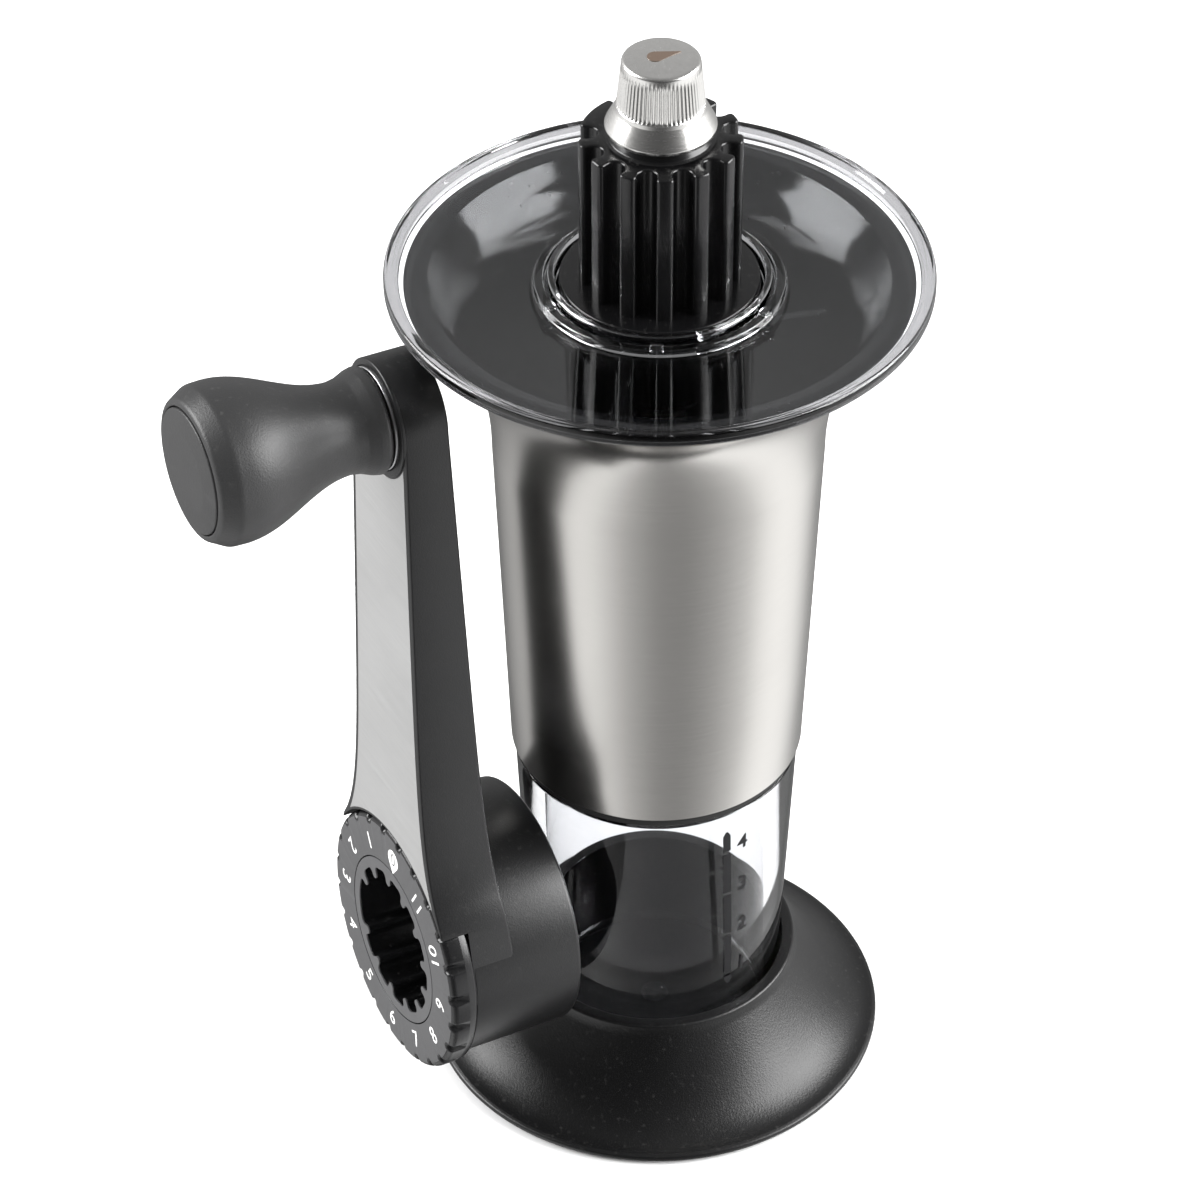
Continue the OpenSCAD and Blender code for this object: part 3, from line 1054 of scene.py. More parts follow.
@dataclass
class ClearJar:
    """The clear jar with its printed cup scale."""

    shoulder_r: float = measured(high, "jar", "y")
    shoulder_z: float = 70.2
    floor_z: float = measured(low, "jar", "z")
    top_z: float = measured(high, "jar", "z")
    slope: float = 0.041
    draft: float = 0.3
    neck_r: float = 24.2
    neck_wall: float = 2.2
    cup_gap: float = 10.85
    first_cup: float = 27.8
    scale_turn: float = math.radians(31.5)
    scale_lean: float = 0.002
    scale_mid: float = 45.0
    scale_low: float = 25.4
    scale_high: float = 65.8
    bar_wide: float = 1.6
    bar_gap: float = 0.45
    bar_tip: float = 0.7
    digit_h: float = 3.4
    digit_turn: float = 0.13
    digit_up: float = 1.2
    cups: int = 4
    floor_wall: float = 2.0
    thread_out: float = 0.35
    seal_in: float = 24.6

    def radius(self, z: float) -> float:
        """Outer radius in mm at a height."""
        return self.shoulder_r - self.slope * (self.shoulder_z - z)

    def body(self) -> list[Corner]:
        """Gives the jar's outline, outside first."""
        bore = self.neck_r - self.neck_wall
        thread = []
        for z in (74.2, 77.4):
            thread += [
                Corner(self.neck_r, z, 0.2),
                Corner(self.neck_r + self.thread_out, z + 0.5, 0.2),
                Corner(self.neck_r + self.thread_out, z + 1.1, 0.2),
                Corner(self.neck_r, z + 1.6, 0.2),
            ]
        return [
            Corner(0.0, self.floor_z),
            Corner(self.radius(self.floor_z) - 0.3, self.floor_z, 1.4),
            Corner(self.shoulder_r, self.shoulder_z, 0.4),
            Corner(self.neck_r, self.shoulder_z, 0.4),
            *thread,
            Corner(self.neck_r, self.top_z, 0.5),
            Corner(bore, self.top_z, 0.5),
            Corner(bore - self.draft, self.floor_z + self.floor_wall, 1.8),
            Corner(0.0, self.floor_z + self.floor_wall),
        ]

    def on_wall(self, turn: float, z: float, out: float = 0.0) -> Matrix:
        """Gives a place on the outer wall, facing out.

        Args:
            turn: angle from the front towards +X.
            z: height in mm.
            out: how far it stands off the wall in mm.

        Returns:
            A matrix whose +Z points out and +Y up.
        """
        reach = (self.radius(z) + out) * MM
        return (
            Matrix.Rotation(turn, 4, "Z")
            @ Matrix.Translation((0.0, -reach, z * MM))
            @ Matrix.Rotation(math.pi / 2 + math.atan(self.slope), 4, "X")
        )

    def scale_angle(self, z: float) -> float:
        """Angle of the scale from the front at a height; it leans a little with the wall."""
        return self.scale_turn - self.scale_lean * (z - self.scale_mid)

    def wrap(self, bm: bmesh.types.BMesh, out: float) -> None:
        """Bends flat print, drawn as x across and y up in mm, onto the outer wall.

        Args:
            bm: the flat mesh in metres, with z as its thickness.
            out: how far it stands off the wall in mm.
        """
        for vert in bm.verts:
            z = vert.co.y / MM
            reach = self.radius(z) + out + vert.co.z / MM
            angle = self.scale_angle(z) + vert.co.x / MM / self.radius(z)
            around = Vector((math.sin(angle), -math.cos(angle), 0.0))
            vert.co = around * reach * MM + Vector((0.0, 0.0, z * MM))

    @property
    def cup_lines(self) -> list[float]:
        """Heights in mm of the cups' lines."""
        return [self.first_cup + i * self.cup_gap for i in range(self.cups)]

    def bars(self) -> bpy.types.Object:
        """Builds the scale's five short bars, split at each cup's line."""
        ends = [self.scale_low, *self.cup_lines, self.scale_high]
        last = len(ends) - 2
        parts = []
        for i, (bottom, top) in enumerate(zip(ends, ends[1:])):
            bottom += 0.0 if i == 0 else self.bar_gap
            top -= 0.0 if i == last else self.bar_gap
            bm = bmesh.new()
            rows = max(2, int(top - bottom))
            bmesh.ops.create_grid(bm, x_segments=4, y_segments=rows, size=0.5)
            grow = Matrix.Diagonal((self.bar_wide * MM, (top - bottom) * MM, MM, 1.0))
            lift = Matrix.Translation((0.0, 0.5 * (top + bottom) * MM, 0.0))
            bmesh.ops.transform(bm, matrix=lift @ grow, verts=bm.verts[:])
            if i in (0, last):
                tip = bottom if i == 0 else top
                for vert in bm.verts:
                    near = 1.0 - min(1.0, abs(vert.co.y / MM - tip) / self.bar_tip)
                    vert.co.x *= math.sqrt(max(0.0, 1.0 - near**2)) * 0.7 + 0.3
            self.wrap(bm, 0.03)
            parts.append(bm)
        return joined("jar_scale_bars", parts)

    def digits(self) -> bpy.types.Object:
        """Builds the cup numbers beside the bars."""
        words = " ".join(str(i + 1) for i in range(self.cups))
        places = [
            self.on_wall(self.scale_angle(z) + self.digit_turn, z + self.digit_up, 0.06)
            for z in self.cup_lines
        ]
        return lettering("jar_scale_numbers", words, self.digit_h, places, 0.02)

    def build(self) -> None:
        """Builds the jar, the gate mark on its floor, its scale and its seal."""
        jar = turned("jar_clear", self.body(), closed=False, segments=160)
        mount(jar, CLEAR_JAR, "jar", ["jar"])
        top = self.floor_z + self.floor_wall
        gate = [
            Corner(0.0, top + 0.22),
            Corner(0.9, top + 0.12, 0.1),
            Corner(1.5, top + 0.12, 0.1),
            Corner(1.9, top + 0.4, 0.12),
            Corner(2.5, top + 0.4, 0.12),
            Corner(2.7, top + 0.02),
            Corner(0.0, top + 0.02),
        ]
        mark = turned("jar_gate_mark", gate, closed=False, segments=48)
        mount(mark, CLEAR_JAR, "jar")
        mount(self.bars(), BLACK_PRINT, "jar")
        mount(self.digits(), BLACK_PRINT, "jar")
        seal_low, seal_high = low("jar_seal"), high("jar_seal")
        ring = band(
            self.seal_in, seal_high.y, seal_low.z, seal_high.z, (0.2, 0.3, 0.3, 0.2)
        )
        mount(turned("jar_seal_ring", ring), RUBBER, "seal", ["jar_seal"])


# ---------------------------------------------------------------- head


@dataclass
class MillHead:
    """The steel shell with its flare, and the black hopper inside it.

    Each of ribs gives a level's length, lowest height and height in mm.
    """

    base_z: float = measured(low, "steel_shell", "z")
    top_z: float = measured(high, "steel_shell", "z")
    shell_r: float = 26.8
    slope: float = 0.038
    straight: float = 66.8
    flare_h: float = 32.0
    flare_out: float = 17.0
    flare_end: float = 78.0
    sheet: float = 0.8
    hopper_gap: float = 0.15
    hopper_wall: float = 1.6
    flange_r: float = measured(high, "hopper", "y")
    flange_z: float = measured(high, "hopper", "z")
    flange_wide: float = 4.2
    funnel_r: float = 16.8
    funnel_z: float = 112.0
    bearing_r: float = 6.3
    post_r: float = 8.5
    post_z: float = 152.0
    disc_r: float = 17.0
    disc_h: float = 2.0
    disc_drop: float = 1.4
    collar_z: tuple[float, float] = (119.5, 128.5)
    rib_turns: tuple[float, ...] = (11.0, 131.0, 251.0)
    rib_start: float = 7.0
    rib_wide: float = 2.0
    ribs: tuple[tuple[float, float, float], ...] = ((17.4, 120.0, 6.0), (22.4, 153.0, 9.0))

    def flare(self, inwards: float, spans: int = 28) -> list[Corner]:
        """Gives the flare's curve, moved inwards along its own normal.

        Args:
            inwards: distance in mm.
            spans: how many spans it has.

        Returns:
            Corners from the straight part's top to the rim.
        """
        corners = []
        for i in range(spans + 1):
            angle = math.radians(self.flare_end * i / spans)
            radius = self.shell_r + self.slope * self.straight
            radius += self.flare_out * (1.0 - math.cos(angle)) - inwards * math.cos(angle)
            height = self.base_z + self.straight
            height += self.flare_h * math.sin(angle) + inwards * math.sin(angle)
            corners.append(Corner(radius, height))
        return corners

    def straight_r(self, z: float, inwards: float) -> float:
        """Radius in mm of the straight part at a height."""
        return self.shell_r + self.slope * (z - self.base_z) - inwards

    def shell(self) -> bpy.types.Object:
        """Builds the steel shell with its turned-in lower edge."""
        corners = [
            Corner(self.shell_r - self.sheet, self.base_z, 0.1),
            Corner(self.shell_r, self.base_z, 0.55),
            Corner(self.straight_r(self.base_z + 20.0, 0.0), self.base_z + 20.0),
            *self.flare(0.0),
            *reversed(self.flare(self.sheet)),
            Corner(self.straight_r(self.base_z + 20.0, self.sheet), self.base_z + 20.0),
        ]
        return turned("steel_shell_brushed", corners, segments=192)

    def hopper(self) -> bpy.types.Object:
        """Builds the hopper's bowl, flange and funnel."""
        outer = self.sheet + self.hopper_gap
        inner = outer + self.hopper_wall
        foot_z = low("hopper").z
        cone_z = self.funnel_z + 16.0
        lip = [c for c in reversed(self.flare(inner)) if c.r < self.flange_r - 5.6]
        corners = [
            Corner(self.funnel_r, foot_z, 0.3),
            Corner(self.straight_r(foot_z, outer), foot_z, 0.3),
            *self.flare(outer)[:-2],
            Corner(self.flange_r, self.flange_z - 1.2, 0.3),
            Corner(self.flange_r, self.flange_z, 0.4),
            Corner(self.flange_r - self.flange_wide, self.flange_z, 0.5),
            *lip,
            Corner(self.straight_r(cone_z, inner), cone_z, 4.0),
            Corner(self.funnel_r, self.funnel_z - 2.0, 0.4),
        ]
        return turned("hopper_bowl", corners, segments=176)

    def spider(self) -> bpy.types.Object:
        """Builds the bearing posts and the ribs that hold them in the hopper."""
        top = self.flange_z - self.disc_drop
        under = top - self.disc_h
        post = [
            Corner(self.bearing_r, self.post_z),
            Corner(self.post_r, self.post_z, 0.5),
            Corner(self.post_r, under, 1.5),
            Corner(self.disc_r, under, 0.4),
            Corner(self.disc_r, top, 0.5),
            Corner(self.bearing_r, top),
        ]
        collar = band(self.bearing_r, self.post_r, *self.collar_z, (0.0, 0.5, 0.5, 0.0))
        parts = [ring_bmesh(post, 96), ring_bmesh(collar, 96)]
        for turn in self.rib_turns:
            for length, base, height in self.ribs:
                middle = (self.rib_start + 0.5 * length, base + 0.5 * height)
                parts.append(block((length, self.rib_wide, height), middle, turn, 0.4))
        return joined("hopper_spider", parts)

    def build(self) -> None:
        """Builds the head's shell, hopper and ribs."""
        mount(self.shell(), STEEL, "head", ["steel_shell"])
        mount(self.hopper(), BLACK_INNER, "head", ["hopper"])
        bridges = ["upper_bridge", "lower_bridge"]
        mount(self.spider(), BLACK_INNER, "head", bridges)


@dataclass
class DishLid:
    """The clear lid with its double collar and small locking lugs.

    Each of lug_places gives an angle in degrees and a distance from the axis in mm.
    """

    rim_r: float = measured(high, "lid", "y")
    low_z: float = measured(low, "lid", "z")
    top_z: float = measured(high, "lid", "z")
    bore_r: float = 17.9
    margin_r: float = 44.0
    lug_size: tuple[float, float, float] = (1.5, 2.4, 1.0)
    lug_z: float = 2.9
    lug_places: tuple[Point2, ...] = (
        (-155.0, 20.6),
        (-92.0, 20.8),
        (-67.0, 18.7),
        (-31.0, 20.6),
        (65.0, 20.6),
    )

    def outline(self) -> list[Corner]:
        """Gives the lid's outline: rim, dish and the collar's two rings."""
        seat = self.low_z + 2.0
        return [
            Corner(self.bore_r, self.low_z + 0.2, 0.3),
            Corner(19.9, self.low_z, 0.3),
            Corner(21.4, self.low_z, 0.4),
            Corner(42.0, seat + 0.3, 1.0),
            Corner(44.9, seat + 0.3, 0.3),
            Corner(44.9, seat - 0.1, 0.2),
            Corner(46.6, seat - 0.1, 0.6),
            Corner(self.rim_r, seat + 0.7, 0.8),
            Corner(self.rim_r, self.top_z, 0.8),
            Corner(self.rim_r - 1.5, self.top_z, 0.6),
            Corner(self.rim_r - 2.3, self.top_z - 0.7, 0.8),
            Corner(41.5, self.top_z - 0.9, 2.0),
            Corner(21.9, seat - 0.2, 0.4),
            Corner(21.5, seat + 0.9, 0.35),
            Corner(20.0, seat + 0.9, 0.35),
            Corner(19.8, seat - 0.1, 0.2),
            Corner(19.4, seat - 0.1, 0.2),
            Corner(19.2, seat + 1.9, 0.4),
            Corner(18.1, seat + 1.9, 0.3),
        ]

    def lugs(self) -> bpy.types.Object:
        """Builds the small locking lugs on the collar."""
        height = self.low_z + self.lug_z
        parts = [
            block(self.lug_size, (reach, height), turn, 0.2) for turn, reach in self.lug_places
        ]
        return joined("lid_lugs", parts)

    def build(self) -> None:
        """Builds the lid, its outer margin painted a darker grey as shade, and its lugs."""
        lid = turned("lid_clear", self.outline(), segments=192)
        mount(lid, CLEAR, "lid", ["lid"])
        # Faces beyond margin_r take the dark tint: painted shade on the clear rim.
        lid.data.materials.append(CLEAR_RIM_PAINTED_SHADE.material())
        for face in lid.data.polygons:
            if math.hypot(face.center.x, face.center.y) > self.margin_r * MM:
                face.material_index = 1
        mount(self.lugs(), CLEAR, "lid")


# ---------------------------------------------------------------- drive


@dataclass(frozen=True)
class Spline:
    """The toothed outline that the drum and the crank's hub share, sizes in mm."""

    places: int = 13
    groove: float = 1.7
    depth_r: float = 12.3
    corner: float = 0.75

    def groove_points(self, outer: float, turn: float) -> list[Point2]:
        """Gives one groove's outline, from one tooth's crown to the next.

        Args:
            outer: radius of the teeth's crowns in mm.
            turn: the groove's angle in radians.

        Returns:
            Points in order of rising angle.
        """
        half = self.groove
        across = half + self.corner
        along = math.sqrt((outer - self.corner) ** 2 - across**2)
        lean = math.atan2(across, along)
        side: list[Point2] = []
        for i in range(5):
            angle = lean + (-0.5 * math.pi - lean) * i / 4
            side.append(
                (along + self.corner * math.cos(angle), across + self.corner * math.sin(angle))
            )
        bottom = []
        for i in range(9):
            angle = math.radians(90.0 + 180.0 * i / 8)
            bottom.append((self.depth_r + half * math.cos(angle), half * math.sin(angle)))
        path = [(x, -y) for x, y in side] + bottom[::-1] + side[::-1]
        c, s = math.cos(turn), math.sin(turn)
        return [(x * c - y * s, x * s + y * c) for x, y in path]

    def outline(self, outer: float, start_deg: float) -> list[Point2]:
        """Gives the whole toothed outline with one groove left out.

        Args:
            outer: radius of the crowns in mm.
            start_deg: angle of the place without a groove.

        Returns:
            Points round the outline.
        """
        points: list[Point2] = []
        pitch = FULL_TURN / self.places
        for i in range(1, self.places):
            turn = math.radians(start_deg) + i * pitch
            points += self.groove_points(outer, turn)
        for k in range(-3, 4):
            angle = math.radians(start_deg) + pitch * k * 0.18
            points.append((outer * math.cos(angle), outer * math.sin(angle)))
        return points


@dataclass
class DriveDrum:
    """The splined drum on its collar disc."""

    disc_r: float = measured(high, "collar_disc", "y")
    base_z: float = measured(low, "collar_disc", "z")
    neck_top: float = measured(high, "spline_drum", "z")
    drum_r: float = 13.9
    key_deg: float = 148.0
    neck_h: float = 1.4
    hub_drop: float = 0.7
    disc_h: float = 1.6
    bore_r: float = 4.5
    hub_r: float = 9.0
    crown_rounding: float = 0.45
    spline: Spline = field(default_factory=Spline)

    def build(self) -> None:
        """Builds the toothed drum, its disc and the neck under the knob."""
        disc_z = self.base_z + self.hub_drop
        seat = disc_z + self.disc_h
        top = self.neck_top - self.neck_h
        drum = prism_bmesh(self.spline.outline(self.drum_r, self.key_deg), seat - 0.2, top)
        bevel_where(drum, edge_at_height(top), self.crown_rounding, 3)
        disc = [
            Corner(self.bore_r, self.base_z),
            Corner(self.hub_r, self.base_z, 0.2),
            Corner(self.hub_r, disc_z, 0.2),
            Corner(self.disc_r, disc_z, 0.3),
            Corner(self.disc_r, seat, 0.4),
            Corner(15.0, seat, 0.4),
            Corner(self.bore_r, seat + 0.1),
        ]
        neck = [
            Corner(self.bore_r, top - 0.2),
            Corner(9.6, top - 0.1),
            Corner(8.9, top + 0.3, 0.4),
            Corner(8.4, self.neck_top, 0.3),
            Corner(self.bore_r, self.neck_top),
        ]
        parts = [drum, ring_bmesh(disc, 128), ring_bmesh(neck, 96)]
        nodes = ["spline_drum", "collar_disc"]
        mount(joined("drum_splined", parts), BLACK_DRUM, "drive", nodes)


@dataclass
class AdjusterKnob:
    """The satin metal knob with its knurled band and teardrop mark."""

    low_z: float = measured(low, "adjuster_knob", "z")
    top_z: float = measured(high, "adjuster_knob", "z")
    skirt_r: float = measured(high, "adjuster_knob", "y")
    grips: int = 60
    depth: float = 0.24
    band_z: tuple[float, float] = (4.9, 12.1)
    band_r: float = 7.5
    band_draft: float = 0.72
    mark_turn: float = math.radians(20.0)
    mark_body: float = 1.45
    mark_tip: float = 4.55
    mark_back: float = 0.95

    def knurl(self, bm: bmesh.types.BMesh, start: float, end: float) -> None:
        """Presses the band's fine flutes into a turned body.

        Args:
            bm: the body, in metres.
            start: height of the band's foot in mm.
            end: height of its top in mm.
        """
        for vert in bm.verts:
            z = vert.co.z / MM
            if start < z < end:
                turn = math.atan2(vert.co.y, vert.co.x)
                wave = 0.5 - 0.5 * math.cos(turn * self.grips)
                ease = min(1.0, (z - start) / 0.35, (end - z) / 0.8)
                radius = math.hypot(vert.co.x, vert.co.y)
                shrink = 1.0 - self.depth * MM * wave * ease / radius
                vert.co.x *= shrink
                vert.co.y *= shrink

    def build(self) -> None:
        """Builds the knob and its inlaid mark."""
        start, end = (self.low_z + height for height in self.band_z)
        shares = [i / 14 for i in range(15)]
        fluted = [
            Corner(self.band_r - self.band_draft * share, start + (end - start) * share)
            for share in shares
        ]
        corners = [
            Corner(3.9, self.low_z, 0.2),
            Corner(self.skirt_r - 0.1, self.low_z, 0.4),
            Corner(self.skirt_r, self.low_z + 0.8, 0.5),
            Corner(7.78, self.low_z + 4.1, 0.5),
            Corner(7.6, start - 0.1, 0.15),
            *fluted,
            Corner(6.62, self.top_z - 0.3, 1.1),
            Corner(0.0, self.top_z),
        ]
        bm = turned_bmesh(filleted(corners, False, 6), False, self.grips * 8)
        self.knurl(bm, start, end)
        knob = finish_mesh("knob_knurled", bm, sharp_deg=60.0)
        mount(knob, KNOB_METAL, "knob", ["adjuster_knob"])
        self.build_mark()

    def build_mark(self) -> None:
        """Builds the dark teardrop let into the knob's top."""
        outline = teardrop(self.mark_body, self.mark_tip, 32)
        bm = prism_bmesh(outline, self.top_z - 0.25, self.top_z + 0.012)
        turn = Matrix.Rotation(self.mark_turn, 4, "Z")
        place = Matrix.Translation((-self.mark_back * MM, 0.0, 0.0)) @ turn
        bmesh.ops.transform(bm, matrix=place, verts=bm.verts[:])
        mount(finish_mesh("knob_mark_inlay", bm), MARK_BROWN, "knob", ["knob_mark"])


# ---------------------------------------------------------------- crank


@dataclass
class Crank:
    """The loose crank: hub, arm, silver plate and splined bore."""

    frame: CrankFrame
    hub_r: float = 23.6
    hub_l: float = 27.1
    dial_r: float = 24.8
    dial_t: float = 5.1
    end_r: float = 10.6
    taper: float = 0.03
    flare: float = 6.6
    flare_at: float = 16.0
    flare_len: float = 10.0
    widest: float = 20.2
    merge_at: float = 5.0
    thin: float = 8.4
    thicken: float = 5.3
    thick_len: float = 104.0
    plate_in: float = 1.3
    plate_start: float = 14.0
    plate_up: float = 0.08
    dial_room: float = 0.3
    liner_r: float = 16.2
    liner_bore: float = 14.15
    grip_seat: float = 10.9
    spline: Spline = field(default_factory=lambda: Spline(groove=0.85, depth_r=12.7, corner=1.1))

    def half_width(self, s: float) -> float:
        """Half width of the arm in mm at a distance from the hub."""
        spread = self.flare * math.exp(-(s - self.flare_at) / self.flare_len)
        inside_r = self.hub_r - 0.05
        if s < self.merge_at:
            return math.sqrt(inside_r**2 - s * s)
        if s < self.flare_at:
            merge_r = math.sqrt(inside_r**2 - self.merge_at**2)
            share = (s - self.merge_at) / (self.flare_at - self.merge_at)
            return merge_r + (self.widest - merge_r) * share
        return min(self.widest, self.end_r + self.taper * (self.frame.arm_len - s) + spread)

    def depth(self, s: float) -> float:
        """How thick the arm is in mm at a distance from the hub."""
        return self.thin + self.thicken * max(0.0, (self.frame.arm_len - s) / self.thick_len)

    def arm_outline(self, start: float, inset: float, spans: int = 30) -> list[Point2]:
        """Gives the arm's outline, round at the grip's end.

        Args:
            start: distance from the hub's axis where it begins, in mm.
            inset: how far inside the arm's edge it runs.
            spans: how many spans each side has.

        Returns:
            Points round the outline.
        """
        length = self.frame.arm_len
        end = self.half_width(length) - inset
        right = []
        for i in range(spans + 1):
            s = start + (length - start) * (i / spans) ** 1.5
            right.append((s, -(self.half_width(s) - inset)))
        tip = []
        for i in range(1, 24):
            angle = math.radians(-90.0 + 7.5 * i)
            tip.append((length + end * math.cos(angle), end * math.sin(angle)))
        left = [(s, -y) for s, y in reversed(right)]
        return right + tip + left

    def arm(self) -> bmesh.types.BMesh:
        """Builds the arm's body with its soft rear edge and thin front edge."""
        bm = prism_bmesh(self.arm_outline(0.0, 0.0), -10.0, 0.0)
        rear = {vert for vert in bm.verts if vert.co.z < -5.0 * MM}
        for vert in rear:
            vert.co.z = -self.depth(vert.co.x / MM) * MM
        bevel_where(bm, lambda edge: all(v in rear for v in edge.verts), 1.5, 4)
        bevel_where(bm, edge_at_height(0.0), 0.35, 3)
        return bm

    def housing(self) -> bmesh.types.BMesh:
        """Builds the drum-shaped hub housing, open at the back."""
        front = -self.dial_t - self.dial_room
        fillets = (0.4, 0.8, 0.35, 0.0)
        return ring_bmesh(band(self.liner_r, self.hub_r, -self.hub_l, front, fillets), 160)

    def build(self) -> None:
        """Builds the crank's fixed pieces."""
        arm = finish_mesh("crank_arm_shell", self.arm())
        self.cut(arm, self.dial_r + 0.45, -self.dial_t - self.dial_room, 5.0)
        self.cut(arm, self.liner_r, -40.0, 5.0)
        house = finish_mesh("crank_hub_housing", self.housing())
        for piece, nodes in ((arm, ["crank_arm"]), (house, [])):
            piece.data.transform(self.frame.hub)
            mount(piece, BLACK_SATIN, "crank", nodes)
        self.build_plate()
        self.build_liner()

    def cut(
        self,
        piece: bpy.types.Object,
        radius: float,
        bottom: float,
        top: float,
        along: float = 0.0,
    ) -> None:
        """Bores a round hole through a piece that is still in the crank's frame.

        Args:
            piece: the piece to cut.
            radius: the hole's radius in mm.
            bottom: where the hole ends in mm.
            top: where it begins.
            along: distance of the hole from the hub's axis.
        """
        bm = bmesh.new()
        bmesh.ops.create_cone(
            bm,
            cap_ends=True,
            segments=160,
            radius1=radius * MM,
            radius2=radius * MM,
            depth=(top - bottom) * MM,
        )
        bmesh.ops.translate(
            bm, verts=bm.verts[:], vec=(along * MM, 0.0, 0.5 * (top + bottom) * MM)
        )
        tool = finish_mesh("boring tool", bm)
        modifier = piece.modifiers.new("bore", "BOOLEAN")
        modifier.operation = "DIFFERENCE"
        modifier.solver = "EXACT"
        modifier.object = tool
        graph = bpy.context.evaluated_depsgraph_get()
        carved = bpy.data.meshes.new_from_object(piece.evaluated_get(graph))
        piece.modifiers.clear()
        old = piece.data
        piece.data = carved
        bpy.data.meshes.remove(old)
        bpy.data.objects.remove(tool)
        carved.set_sharp_from_angle(angle=math.radians(SHARP_DEG))

    def build_plate(self) -> None:
        """Builds the silver plate let into the arm's face."""
        outline = self.arm_outline(self.plate_start, self.plate_in)
        bm = prism_bmesh(outline, -0.6, self.plate_up)
        plate = finish_mesh("arm_plate_silver", bm)
        self.cut(plate, self.dial_r + 0.9, -3.0, 3.0)
        self.cut(plate, self.grip_seat, -3.0, 3.0, self.frame.arm_len)
        bm = bmesh.new()
        bm.from_mesh(plate.data)
        bevel_where(bm, edge_at_height(self.plate_up), 0.12, 2)
        bm.to_mesh(plate.data)
        bm.free()
        plate.data.transform(self.frame.hub)
        mount(plate, PLATE, "crank", ["arm_plate"])

    def build_liner(self) -> None:
        """Builds the splined liner that grips the drum, with its thin face ring in painted light
        grey as a lit front.
        """
        liner = finish_mesh("hub_liner_splined", self.spline_ring(-self.hub_l + 0.4, -0.25))
        cap = finish_mesh("hub_liner_face", self.spline_ring(-0.4, -0.02))
        for piece in (liner, cap):
            piece.data.transform(self.frame.hub)
        mount(liner, BLACK_DRUM, "crank", ["hub_liner"])
        # The face ring carries the painted light grey of a lit front face, over the liner's black.
        mount(cap, FRONT_PAINTED_LIGHT_GREY, "crank")

    def spline_ring(self, bottom: float, top: float) -> bmesh.types.BMesh:
        """Builds a ring with the drum's outline as its bore.

        Args:
            bottom: its lower height in mm.
            top: its upper height in mm.

        Returns:
            The ring as a bmesh.
        """
        bore = self.spline.outline(self.liner_bore, 90.0)
        bm = bmesh.new()
        inner = [bm.verts.new((x * MM, y * MM, bottom * MM)) for x, y in bore]
        loop = [bm.edges.new(pair) for pair in zip(inner, inner[1:] + inner[:1])]
        rim = bmesh.ops.create_circle(
            bm, cap_ends=False, segments=144, radius=(self.liner_r - 0.1) * MM
        )["verts"]
        bmesh.ops.translate(bm, verts=rim, vec=(0.0, 0.0, bottom * MM))
        edges = loop + [e for e in bm.edges if e.verts[0] in rim and e.verts[1] in rim]
        bmesh.ops.triangle_fill(bm, edges=edges, use_beauty=True)
        raise_faces(bm, bm.faces[:], top - bottom)
        return bm


